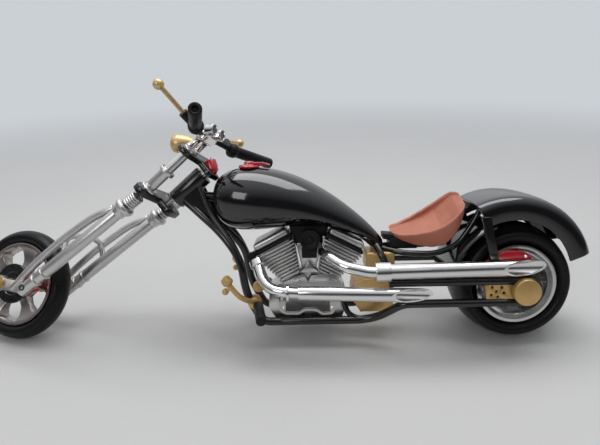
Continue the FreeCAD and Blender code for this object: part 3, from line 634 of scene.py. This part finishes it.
def fuel_cap():
    """The red cap: a wide flange on a collar, a knob on top and a short lever to the rear."""
    cap = rounded(turned([(radius * CAP_WIDTH, height) for radius, height in CAP_RINGS], 48), 0.12, 2, 30)
    lever = rounded(plate(CAP_LEVER, -1.5, 1.5), 0.4)
    finished([cap, lever], BIKE @ at(*CAP_AT), 40, "fuel-cap", "frame", RED, "fuel_cap")


seat()
rear_fender()
inner_guard()
neck_web()
fuel_cap()


# ----- Engine -----

CYLINDER_TILT = 27.5
FRONT_BARREL = BIKE @ at(114.6, 0, 34.6) @ turn(CYLINDER_TILT, "Y")     # from its foot on the crankcase
REAR_BARREL = BIKE @ at(94.8, 0, 34.6) @ turn(-CYLINDER_TILT, "Y")
FINS, FIN_STEP, FIN_THICK = 10, 1.74, 0.85
FIN_NARROW, FIN_WIDE, FIN_DEPTH = 5.6, 10.8, 9.6     # half widths at the foot and the top, half depth
FIN_TOP = FINS * FIN_STEP
PLUG_RINGS = [(1.9, 0), (2.2, 0.3), (2.2, 3.0), (1.8, 3.4), (0.9, 3.5)]


def cylinder(node, place):
    """A finned barrel that widens towards its head."""
    pieces = [plate([(-4.6, -1.2), (4.6, -1.2), (8.6, FIN_TOP), (-8.6, FIN_TOP)], -7.6, 7.6)]
    for step in range(FINS):
        half = FIN_NARROW + (FIN_WIDE - FIN_NARROW) * step / (FINS - 1)
        low = step * FIN_STEP
        pieces.append(rounded(block((-half, half), (-FIN_DEPTH, FIN_DEPTH), (low, low + FIN_THICK)), 0.2))
    finished(pieces, place, 30, None, "frame", CAST_SILVER, node)


def head_layer(half, depth, low, high):
    """One layer of a head, over the fins."""
    return block((-half, half), (-depth, depth), (FIN_TOP + low, FIN_TOP + high))


def cylinder_heads():
    """The dark band on each barrel, the silver cover over it and the plug at the front one's outer end."""
    bands, covers = [], []
    for place in (FRONT_BARREL, REAR_BARREL):
        layers = [rounded(head_layer(10.6, 9.4, 0, 1.7), 0.4), rounded(head_layer(9.6, 8.4, 1.6, 2.3), 0.2)]
        bands.append(set_in(joined(layers), place))
        cover = head_layer(9.6, 8.2, 2.2, 5.0)
        select_facing(cover, (0, 0, 1))
        bpy.ops.mesh.inset(thickness=1.5 * MM)
        bpy.ops.transform.translate(value=(0, 0, 1.0 * MM))
        covers.append(set_in(rounded(cover, 0.7, 3, 20), place))
    outer = plate([(8, FIN_TOP), (12.2, FIN_TOP), (12.2, FIN_TOP + 2.4), (8, FIN_TOP + 2.4)], 3.4, 8.4)
    plug = set_in(turned(PLUG_RINGS, 24), at(12.2, 7.8, FIN_TOP + 1.2) @ ACROSS)
    bands.append(set_in(joined([rounded(outer, 0.3), plug]), FRONT_BARREL))
    finished(bands, None, 34, "cylinder-heads", "frame", BLACK_PLASTIC, "cylinder_heads")
    finished(covers, None, 40, "head-covers", "frame", SATIN_SILVER)


#  the block in the V, its foot and the square intake, in side view
INTAKE_BODY = [(101.4, 36.5), (108.0, 36.5), (111.4, 51.5), (97.6, 51.5)]
INTAKE_FOOT = [(99.6, 36.4), (104.8, 41.6), (110.0, 36.4)]
INTAKE_BOX = [(98.0, 49.0), (111.0, 49.0), (115.0, 60.4), (94.0, 60.4)]
FITTING_RINGS = [(1.2, 0), (1.5, 0.2), (1.5, 0.7), (1.2, 0.9)]
FITTING_TOP_RINGS = [(0.7, 0), (0.7, 2.0), (1.1, 2.2), (1.1, 3.0), (0.6, 3.4)]
FITTINGS, FITTING_STEP = 4, 1.1


def carburettor():
    """The block that fills the V, the square intake on it and the small fittings beside the filter."""
    body = rounded(plate(INTAKE_BODY, -6, 6.2), 0.8, 3)
    box = rounded(plate(INTAKE_BOX, -5.5, 5.5), 1.0, 3)
    finished([box], BIKE, 36, "intake-box", "frame", BLACK_PLASTIC)
    neck = rounded(block((100.6, 108.4), (4.6, 8.2), (43.6, 49.4)), 0.6, 3)
    foot = rounded(plate(INTAKE_FOOT, 2, 9.9), 0.5)
    finished([body, foot], BIKE, 36, "carburettor", "frame", CAST_SILVER)
    finished([neck], BIKE, 36, "intake", "frame", BLACK_PLASTIC)
    fittings = [set_in(turned(FITTING_RINGS, 20), at(97.2, 8.2, 48.2 + step * FITTING_STEP))
                for step in range(FITTINGS)]
    fittings.append(set_in(turned(FITTING_TOP_RINGS, 20), at(97.2, 8.2, 52.4)))
    finished(fittings, BIKE, 40, "intake-fittings", "frame", CHROME)


FILTER_RINGS = [(4.6, 0), (5.0, 0.3), (5.0, 1.2), (4.7, 1.5), (4.8, 1.8), (5.2, 2.1), (5.2, 3.3), (4.8, 3.7),
                (4.1, 3.7), (3.9, 3.1), (3.1, 2.6), (1.7, 2.4), (1.5, 3.3), (1.1, 3.5), (0.5, 3.5)]
FILTER_AT = (104.2, 8.0, 54.0)


def air_cleaner():
    """The round filter on its stub: a ribbed rim round a sunk face with a centre bolt."""
    drum = rounded(turned(FILTER_RINGS, 48), 0.12, 2, 30)
    stub = turned([(3.0, -14), (3.0, 0.5)], 32)
    finished([drum, stub], BIKE @ at(*FILTER_AT) @ ACROSS, 40, "air-cleaner", "frame",
             BLACK_PLASTIC, "air_cleaner")


COVER_LINE = [(122.3, 26.5), (89.5, 26.5), (90.5, 20.0), (93.0, 14.6), (98.6, 14.3), (101.4, 16.6),
              (107.4, 16.9), (110.0, 14.8), (117.6, 14.9), (120.4, 17.2)]
COVER_ENDS = [[(91.4, 25.4), (94.6, 25.4), (94.4, 16.8), (93.0, 16.8), (91.4, 20.4)],
              [(117.0, 25.4), (120.8, 25.4), (119.6, 18.0), (117.2, 17.0)]]
COVER_SCREWS = [(93.0, 13.8, 24.0), (93.4, 13.8, 18.6), (119.0, 13.8, 24.0), (118.4, 13.8, 19.0)]
ENGINE_FEET = (98.6, 109.6)
FOOT_LINE = [(-2.2, 14.4), (2.2, 14.4), (1.7, 12.2), (-1.7, 12.2)]
ENGINE_STRAP = [(88, 10.6, 27), (87.0, 11.4, 21), (85.5, 12.4, 15.4), (81, 13, 12.4), (76, 13, 11.8)]


def engine_cover():
    """The cover on the crankcase's left side, a raised border round a panel, with a plate at each end,
    and the two feet and the strap below it."""
    cover = plate(COVER_LINE, 10.3, 12.9)
    rounded_corners(cover, 1.2)
    outward(cover)
    select_facing(cover, (0, 1, 0))
    bpy.ops.mesh.inset(thickness=0.8 * MM, use_even_offset=True)
    extruded(0, 0.7, 0)
    bpy.ops.mesh.inset(thickness=0.9 * MM, use_even_offset=True)
    extruded(0, -1.1, 0)
    pieces = [rounded(cover, 0.2, 2, 30)] + [rounded(plate(line, 12.6, 13.9), 0.3) for line in COVER_ENDS]
    finished(pieces, BIKE, 36, "engine-cover", "frame", COVER_PLATE, "engine_cover")
    screws("cover-screws", COVER_SCREWS, 0.75)
    feet = [rounded(plate([(ahead + out, up) for out, up in FOOT_LINE], 9, 13), 0.3)
            for ahead in ENGINE_FEET]
    finished(feet, BIKE, 36, "engine-feet", "frame", BLACK_PLASTIC)
    finished([bar(ENGINE_STRAP, 1.5)], BIKE, 50, "engine-strap", "frame", FRAME_BLACK)


EXHAUST_LEFT = 27.0
CAN_FRONT = 110.5                      # where the lower can ends and its header takes over
PORT_AT, PORT_WAY = Vector((131.0, 12.0, 42.0)), Vector((-0.30, 0.62, -0.72))
HEADER_LINE = [(127.6, 19.6, 35.4), (124.0, 24.4, 32.6), (117.0, EXHAUST_LEFT, 31.5),
               (109.0, EXHAUST_LEFT, 31.2)]
PORT_RINGS = [(3.2, -3.6), (3.9, -3.2), (3.9, -0.4), (3.5, 0), (3.0, 0.2)]
CLAMP_RINGS = [(3.0, 0), (4.3, 0.3), (4.3, 1.4), (3.0, 1.7)]


def exhaust_lower():
    """The lower silencer, and the short header that comes down to it from a port on the front barrel."""
    can = merged("exhaust_lower")
    edit(can)
    bpy.ops.mesh.bisect(plane_co=BIKE @ Vector((CAN_FRONT * MM, 0, 0)), plane_no=AHEAD, use_fill=True,
                        clear_outer=True)
    rounded(can, 0.35)
    header = bar([PORT_AT, PORT_AT + PORT_WAY * 4, *HEADER_LINE], 2.8)
    port = set_in(turned(PORT_RINGS, 36), at(*(PORT_AT + PORT_WAY * 1.5)) @ towards(PORT_WAY))
    ring = set_in(turned(CLAMP_RINGS), at(114.8, EXHAUST_LEFT, 31.5) @ turn(90, "Y"))
    front = set_in(joined([header, port, ring]), BIKE)
    finished([can, front], None, 40, "exhaust-lower", "frame", CHROME, "exhaust_lower")


GEARBOX_LINE = [(61, 14.4), (78, 14.0), (82.6, 21), (81.6, 30), (77, 32.2), (61, 32.2)]


def gearbox():
    """The gold gearbox with round corners and its slanted foot, and the rounded oil tank above it."""
    box = plate(GEARBOX_LINE, -9, 9)
    softened(box, 0.5, 7, 0.35)
    finished([box], BIKE, 60, "gear-box", "frame", GOLD, "gearbox")
    tank = block((60.2, 75.2), (-8, 8), (36.3, 45.9))
    softened(tank, 0.5, 12, 0.35)
    finished([tank], BIKE, 60, "oil-tank", "frame", GOLD, "oil_tank")


exhaust_lower()
gearbox()
cylinder("front_cylinder", FRONT_BARREL)
cylinder("rear_cylinder", REAR_BARREL)
cylinder_heads()
carburettor()
air_cleaner()
engine_cover()


# ----- Rear brake and axle plates -----

CALIPER_LINE = [(16.5, 41.5), (15.0, 44.4), (10.8, 47.0), (6.4, 48.2), (-0.6, 48.0), (-4.4, 46.2),
                (-5.6, 43.4), (-3.6, 42.6), (4.0, 43.4), (10.5, 42.6)]
CALIPER_BRIDGE = [(8, 43.5), (8, 47.2), (-1, 47.4), (-1, 43.8)]
CALIPER_BOLTS = [(12.4, 19.6, 44.4), (-2.0, 19.6, 45.4)]
AXLE_PLATE = [(19.4, 33.9), (18.0, 24.3), (3.0, 24.1), (1.0, 33.9)]
PLATE_HOLES = [(15.6, 31.6), (13.4, 29.4), (15.8, 27.6), (12.6, 26.6), (10.8, 31.4), (9.6, 28.6)]
PLATE_LEFT, PLATE_THICK = 24, 1.6


def rear_caliper():
    """The long red caliper over the rear disc, with a bolt at each end."""
    body = plate(CALIPER_LINE, 16.2, 19.6)
    rounded_corners(body, 0.8)
    pieces = [rounded(body, 0.5, 3, 40), rounded(plate(CALIPER_BRIDGE, 11.5, 17), 0.5)]
    finished(pieces, BIKE, 36, "rear-caliper", "frame", RED, "rear_caliper")
    screws("caliper-bolts", CALIPER_BOLTS, 0.9)


def axle_plates():
    """The drilled gold plate between the rear rails, on both sides."""
    plates = []
    for middle in (PLATE_LEFT, -PLATE_LEFT):
        flat = plate(AXLE_PLATE, middle - PLATE_THICK / 2, middle + PLATE_THICK / 2)
        drilled(flat, [at(ahead, middle, up) for ahead, up in PLATE_HOLES], 0.75, -2, 2, 16)
        plates.append(rounded(flat, 0.2, 2, 40))
    finished(plates, BIKE, 34, "axle-plates", "frame", GOLD)


rear_caliper()
axle_plates()


# ----- Fork, lamps and bars -----

SIDES = (1, -1)                        # the left one and the right one
LEG_RAKE = math.radians(4.5)           # the fork legs against the steering axis
LEG_UP = Vector((-math.sin(LEG_RAKE), 0, math.cos(LEG_RAKE)))
LEG_AHEAD = Vector((math.cos(LEG_RAKE), 0, math.sin(LEG_RAKE)))
LEG_LEFT = Vector((0, 1, 0))
LEG_TOP = Vector((8.5, 0, -30.0))      # a leg's top at its collar, between the two
LEG_OUT = 15.4                         # a leg's place to its side
TO_FORK = FORK.inverted()


def leg_place(side, down):
    """Where a turned piece stands on a fork leg, its top towards the collar, a way down the leg."""
    top = LEG_TOP + LEG_LEFT * LEG_OUT * side
    return FORK @ placing((top - LEG_UP * down) * MM, LEG_AHEAD, LEG_LEFT, LEG_UP)


def leg_seat(node, side):
    """Where a piece on a fork leg stands: a matrix whose up runs up the leg, and its length."""
    points = [TO_FORK @ v.co for v in frame["nodes"][node].data.vertices]
    points = [point for point in points if point.y * side > 0]
    ups, aheads, lefts = [[point.dot(way) for point in points] for way in (LEG_UP, LEG_AHEAD, LEG_LEFT)]
    foot = (LEG_UP * min(ups) + LEG_AHEAD * (min(aheads) + max(aheads)) / 2
            + LEG_LEFT * (min(lefts) + max(lefts)) / 2)
    return FORK @ placing(foot, LEG_AHEAD, LEG_LEFT, LEG_UP), max(ups) - min(ups)


COLLAR_RINGS = [(3.4, -1.0), (3.7, -0.6), (3.9, 1.4), (4.6, 2.6), (5.15, 3.4), (5.25, 4.6), (4.9, 5.4),
                (4.0, 5.8), (3.0, 5.9)]


def fork_collars():
    """The turned collar at the top of each fork leg."""
    collars = []
    for side in SIDES:
        place, _ = leg_seat("fork_collars", side)
        collars.append(set_in(rounded(turned(COLLAR_RINGS, 48), 0.12, 2, 25), place))
    finished(collars, None, 50, "fork-collars", "fork", SATIN_SILVER, "fork_collars")


WIRE_RADIUS, COIL_RADIUS, COIL_TURNS = 0.66, 2.95, 5


def fork_springs():
    """A coil of round wire above each collar."""
    coils = []
    for side in SIDES:
        place, length = leg_seat("fork_springs", side)
        start()
        bpy.ops.mesh.primitive_circle_add(vertices=12, radius=WIRE_RADIUS * MM, fill_type="NOTHING",
                                          location=(COIL_RADIUS * MM, 0, WIRE_RADIUS * MM),
                                          rotation=(math.radians(90), 0, 0))
        coil = bpy.context.object
        bpy.ops.object.transform_apply(location=True, rotation=True)
        pitch = (length - 2 * WIRE_RADIUS * MM) / COIL_TURNS
        applied(coil, "SCREW", axis="Z", angle=math.tau, screw_offset=pitch, iterations=COIL_TURNS,
                steps=28, render_steps=28, use_merge_vertices=True)
        edit(coil, "EDGE", "DESELECT")
        bpy.ops.mesh.select_non_manifold()
        bpy.ops.mesh.edge_face_add()
        outward(coil)
        coils.append(set_in(coil, place))
    finished(coils, None, 60, "fork-springs", "fork", SATIN_SILVER, "fork_springs")


BAND_RINGS = [(3.25, 0), (3.7, 0.15), (3.7, 1.0), (3.25, 1.15)]
BORE_RINGS = [(1.6, 2.6), (1.6, 3.32), (1.1, 3.32), (1.05, 2.9)]
BANDS_AT, BORE_AT = (56.0, 62.0), 68.5                  # down the leg from its collar


def leg_bands():
    """The turned bands on each leg, and near its end a black disc on each face whose black is painted shade
    standing for the bore.
    """
    bands, bore_shade_discs = [], []
    for side in SIDES:
        bands += [set_in(turned(BAND_RINGS), leg_place(side, down)) for down in BANDS_AT]
        bore_shade_discs += [set_in(turned(BORE_RINGS, 20), leg_place(side, BORE_AT) @ outwards(face))
                  for face in SIDES]
    finished(bands, None, 40, "leg-bands", "fork", SATIN_SILVER)
    # the bores are not cut: each is a shallow black disc, its black painted shade of the hole
    finished(bore_shade_discs, None, 40, "leg-bore-shade-discs", "fork", FRAME_BLACK)


TUBE_AHEAD, TUBE_LEFT = 8.5, 12.6      # where the upper tubes pass through the clamps


def clamp(node, up, thick, half, flange):
    """A clamp across the fork: a rounded bar with a nose round the stem and a ring round each tube."""
    left_half = [(3.0, 5.4), (4.2, half - 4.0), (5.4, half - 1.0), (8.4, half), (11.6, half - 1.0),
                 (12.6, half - 4.0), (11.8, half - 9)]
    right_half = mirrored(left_half)[::-1]
    outline = [(-5.4, 4.2), (-5.4, -4.2), (-3.0, -5.4)] + right_half + left_half[::-1] + [(-3.0, 5.4)]
    body = slab([(ahead, left, up) for ahead, left in outline], 0, 0, thick)
    finished([rounded(body, 0.7, 3, 25)], FORK, 40, None, "fork", FRAME_BLACK, node)
    rings = [(2.6, 0), (flange, 0), (flange + 0.3, 0.3), (flange + 0.3, 1.0), (flange, 1.3), (3.4, 1.5),
             (2.6, 1.5)]
    pieces = [set_in(turned(rings), at(TUBE_AHEAD, TUBE_LEFT * side, up + thick - 0.2)) for side in SIDES]
    finished(pieces, FORK, 40, node.replace("_", "-") + "-rings", "fork", SATIN_SILVER)


#  the brace's left half from its leg to its middle: left, ahead of the leg, down from the collar
BRACE_LINE = [(15.4, 0.5, 41), (15.2, 5.5, 38), (12.6, 9.0, 35.5), (6.0, 10.2, 34.5), (0, 10.4, 34.2)]


def fork_brace():
    """The broad U of round bar that joins the two legs ahead of them."""
    line = []
    for left, ahead, down in BRACE_LINE + [(-left, ahead, down) for left, ahead, down in BRACE_LINE[-2::-1]]:
        point = LEG_TOP - LEG_UP * down + LEG_AHEAD * ahead
        line.append((point.x, left, point.z))
    finished([bar(line, 1.5)], FORK, 50, "fork-brace", "fork", SATIN_SILVER, "fork_brace")


HEADLIGHT_RINGS = [(0.8, -7.0), (1.9, -6.4), (3.1, -4.8), (4.1, -2.4), (4.75, 0.2), (5.0, 2.4), (4.85, 4.0),
                   (4.3, 5.3), (3.3, 6.2), (1.9, 6.8), (0.7, 7.0)]
MARKER_RINGS = [(2.4, -1.4), (3.0, -1.0), (3.1, 0.4), (2.9, 2.2), (2.7, 3.8), (2.2, 5.2), (1.3, 6.2),
                (0.4, 6.6)]


def lamps():
    """The egg-shaped headlight, and the red bullet lamp behind the upper clamp."""
    shell = rounded(turned(HEADLIGHT_RINGS, 56), 0.12, 2, 30)
    finished([shell], FORK @ at(21.4, 0, 11.6) @ towards(TO_FORK.to_3x3() @ AHEAD), 50, "headlight", "fork",
             PALE_GOLD, "headlight")
    finished([turned(MARKER_RINGS)], FORK @ at(2.0, 0, 16.4) @ towards((-1.0, 0, -0.35)), 50, "marker-lamp",
             "fork", RED, "marker_lamp")


CUP_RINGS = [(1.2, -2.6), (1.6, -1.2), (2.5, -0.4), (3.0, 0.8), (3.1, 3.2), (3.35, 3.5), (3.35, 4.2),
             (3.0, 4.5), (2.6, 4.5), (2.5, 4.0)]
FACE_RINGS = [(2.55, 3.6), (2.55, 4.05), (0.5, 4.15)]
GAUGES_AT, GAUGES_WAY = (15.0, 4.6, 26.6), (-0.72, 0, 0.7)      # the left one, and the way they look


def gauges():
    """Two bright cups with dark faces on the bar's clamp."""
    cups, faces = [], []
    ahead, left, up = GAUGES_AT
    for side in SIDES:
        place = FORK @ at(ahead, left * side, up) @ towards(GAUGES_WAY)
        cups.append(set_in(turned(CUP_RINGS), place))
        faces.append(set_in(turned(FACE_RINGS, 32), place))
    finished(cups, None, 40, "gauge-cups", "fork", CHROME, "gauges")
    finished(faces, None, 40, "gauge-faces", "fork", DARK_FACE)


POST_RINGS = [(2.2, 0), (2.5, 0.4), (2.0, 1.2), (1.8, 5.6), (2.4, 6.6)]
BOLT_RINGS = [(1.9, 0), (1.9, 0.7), (1.4, 1.1), (0.7, 1.1)]
RISER_AHEAD = 15


def handlebar_riser():
    """Two short posts and the clamp that holds the bar, with a bolt on each side."""
    posts = [set_in(turned(POST_RINGS, 28), at(RISER_AHEAD, 3.6 * side, 14.2)) for side in SIDES]
    head = rounded(block((11.6, 18.4), (-6.4, 6.4), (20.4, 26.0)), 1.5, 4, 30)
    bolts = [set_in(turned(BOLT_RINGS, 24), at(RISER_AHEAD, 6.2 * side, 23.2) @ outwards(side))
             for side in SIDES]
    finished([*posts, head, *bolts], FORK, 36, "handlebar-riser", "fork", CHROME,
             "handlebar_riser")


#  the left perch, lever and foot control: the right ones are their mirror images
PERCH_ARM = [(10.6, 20.6, 25.8), (13.0, 21.0, 26.0), (16.5, 21.6, 25.8), (18.6, 24.4, 26.0)]
PERCH_RINGS = [(2.4, -2.4), (3.5, -2.0), (3.9, -1.0), (3.9, 1.2), (3.4, 2.2), (2.4, 2.5)]
LEVER_LINE = [(12.5, 21, 26.5), (17, 21, 25.5), (21, 30, 27), (23.5, 45, 29)]
LEVER_KNOB = [(0.5, -2.5), (1.5, -2.1), (2.3, -1.2), (2.6, 0), (2.3, 1.2), (1.5, 2.1), (0.5, 2.5)]
CONTROL_ARM = [(132, 15, 22.6), (138, 20, 25.5), (143, 22, 32), (145.5, 22, 36)]
CONTROL_STALK = [(144, 22, 33), (146.5, 22, 31)]
CONTROL_KNOB = [(0.6, -2.8), (1.7, -2.4), (2.3, -1.7), (2.35, -1.2), (2.7, -0.9), (2.9, 0), (2.8, 0.8),
                (2.3, 1.0), (2.2, 1.5), (1.7, 1.7), (1.5, 2.4), (0.6, 2.8)]
CONTROL_PAD = [(0.4, -1.65), (1.1, -1.3), (1.6, -0.6), (1.7, 0), (1.6, 0.6), (1.1, 1.3), (0.4, 1.65)]
CONTROL_CLAMP = [(2.6, 10.5), (3.2, 10.8), (3.3, 11.4), (3.3, 13.4), (2.5, 14.2), (2.5, 15.4), (3.0, 15.8),
                 (3.0, 16.7), (2.6, 17.0)]


def side_bar(line, radius, side):
    """A bar drawn for the left side, on the side that is asked for."""
    return bar([(ahead, left * side, up) for ahead, left, up in line], radius)


def lever_perches():
    """The black collar at each bend of the bar and the arm that holds the lever."""
    pieces = []
    for side in SIDES:
        collar_place = at(10.3, 21.2 * side, 26.2) @ towards((-0.3, 0.86 * side, 0.32))
        pieces += [side_bar(PERCH_ARM, 2.3, side), set_in(turned(PERCH_RINGS, 32), collar_place)]
    finished(pieces, FORK, 50, "lever-perches", "fork", BLACK_PLASTIC)


def levers():
    """The thin rods from the perches to the round knobs."""
    pieces = []
    ahead, left, up = LEVER_LINE[-1]
    for side in SIDES:
        knob = set_in(turned(LEVER_KNOB, 36), at(ahead, left * side, up))
        pieces += [side_bar(LEVER_LINE, 1.15, side), knob]
    finished(pieces, FORK, 60, "hand-levers", "fork", PALE_GOLD, "levers")


def foot_controls():
    """The cast arm on each side with its stepped knob, the small pad below it and the clamp at its foot."""
    pieces = []
    for side in SIDES:
        pieces += [side_bar(CONTROL_ARM, 1.35, side), side_bar(CONTROL_STALK, 1.0, side),
                   set_in(turned(CONTROL_KNOB, 36), at(145.5, 22 * side, 36.4)),
                   set_in(turned(CONTROL_PAD, 28), at(146.5, 22 * side, 31)),
                   set_in(turned(CONTROL_CLAMP, 36), at(133, 0, 22.6) @ outwards(side))]
    finished(pieces, BIKE, 50, "foot-controls", "frame", GOLD, "foot_controls")


levers()
foot_controls()
fork_collars()
fork_springs()
leg_bands()
clamp("lower_clamp", -18.0, 4.0, 20.0, 4.4)
clamp("upper_clamp", 11.6, 3.0, 18.6, 3.2)
fork_brace()
lamps()
gauges()
handlebar_riser()
lever_perches()


# ----- Floor, light and camera -----

BACKDROP = (0.60, 0.63, 0.66, 1)
SOFT_LIGHT = (0.34, 0.345, 0.355, 1)
#  what plating mirrors, from low to high in the room: place, colour
REFLECTED = [(0.0, (0.055, 0.057, 0.062, 1)), (0.42, (0.42, 0.43, 0.45, 1)), (0.85, (0.95, 0.96, 1.0, 1))]
REFLECTED_TILT = -0.45                 # makes what plating mirrors darker towards the toy's left
FADE_FROM, FADE_TO = 0.25, 1.1         # where the floor turns pale, in metres from the toy


def lay_floor():
    """A pale floor that turns into the backdrop away from the toy, where it is seen directly."""
    start()
    bpy.ops.mesh.primitive_plane_add(size=12, location=(0, 0, 0))
    floor = bpy.context.object
    floor.name = "floor"
    floor.data.materials.append(FLOOR)
    tree = FLOOR.node_tree
    place = shader_node(tree, "TexCoord").outputs["Object"]
    distance = shader_node(tree, "VectorMath", {0: place}, operation="LENGTH").outputs["Value"]
    fade = shader_node(tree, "MapRange", {"Value": distance, "From Min": FADE_FROM, "From Max": FADE_TO},
                       interpolation_type="SMOOTHSTEP").outputs["Result"]
    ray = shader_node(tree, "LightPath").outputs
    amount = shader_node(tree, "Math", {0: fade, 1: ray["Is Camera Ray"]}, operation="MULTIPLY").outputs[0]
    pale = shader_node(tree, "Emission", {"Color": BACKDROP}).outputs[0]
    near = tree.nodes["Principled BSDF"].outputs[0]
    mixed = shader_node(tree, "MixShader", {"Fac": amount, 1: near, 2: pale})
    fed(tree, tree.nodes["Material Output"], {"Surface": mixed.outputs[0]})


def light_room():
    """The room round the toy: a soft light, a banded one for plating to mirror, and a pale backdrop."""
    world = bpy.data.worlds.new("studio")
    bpy.context.scene.world = world
    world.use_nodes = True
    tree = world.node_tree
    soft = tree.nodes["Background"]
    fed(tree, soft, {"Color": SOFT_LIGHT})
    way = shader_node(tree, "TexCoord").outputs["Generated"]
    part = shader_node(tree, "SeparateXYZ", {"Vector": way}).outputs
    height = shader_node(tree, "Math", {0: part["Y"], 1: REFLECTED_TILT, 2: part["Z"]},
                         operation="MULTIPLY_ADD").outputs[0]
    bands = shader_node(tree, "ValToRGB", {"Fac": height})
    stops = bands.color_ramp.elements
    stops[0].position, stops[0].color = REFLECTED[0]
    stops[1].position, stops[1].color = REFLECTED[2]
    stops.new(REFLECTED[1][0]).color = REFLECTED[1][1]
    banded = shader_node(tree, "Background", {"Color": bands.outputs["Color"]}).outputs[0]
    backdrop = shader_node(tree, "Background", {"Color": BACKDROP}).outputs[0]
    ray = shader_node(tree, "LightPath").outputs
    seen = shader_node(tree, "Math", {0: ray["Is Camera Ray"], 1: ray["Is Transmission Ray"]},
                       operation="MAXIMUM").outputs[0]
    lit = shader_node(tree, "MixShader", {"Fac": ray["Is Glossy Ray"], 1: soft.outputs[0], 2: banded})
    mixed = shader_node(tree, "MixShader", {"Fac": seen, 1: lit.outputs[0], 2: backdrop})
    fed(tree, tree.nodes["World Output"], {"Surface": mixed.outputs[0]})


def lamp(name, place, size, power):
    """A rectangular lamp that looks at the middle of the toy."""
    data = bpy.data.lights.new(name, "AREA")
    data.shape = "RECTANGLE"
    data.size, data.size_y = size
    data.energy = power
    holder = bpy.data.objects.new(name, data)
    bpy.context.scene.collection.objects.link(holder)
    holder.location = place
    holder.rotation_euler = (Vector((0, 0, 0.05)) - Vector(place)).to_track_quat("-Z", "Y").to_euler()


lay_floor()
lamp("overhead lamp", (-0.05, -0.12, 0.75), (0.8, 0.4), 4.2)
lamp("side lamp", (0.45, 0.7, 0.5), (0.35, 0.35), 1.3)
light_room()

CAMERA_AT = (-0.0203471, 0.2667648, 0.1547986)
CAMERA_LOOKS = Vector((0.0017249, -0.9396938, -0.3420124))
CAMERA_RIGHT = Vector((-0.9996045, 0.0079797, -0.0269658))
lens = bpy.data.cameras.new("camera")
lens.lens = 31.2
lens.sensor_width = 36
lens.clip_start = 0.01
camera = bpy.data.objects.new("camera", lens)
bpy.context.scene.collection.objects.link(camera)
camera.matrix_world = placing(CAMERA_AT, CAMERA_RIGHT, CAMERA_RIGHT.cross(CAMERA_LOOKS), -CAMERA_LOOKS)
bpy.context.scene.camera = camera
bpy.context.scene.view_settings.view_transform = "Standard"
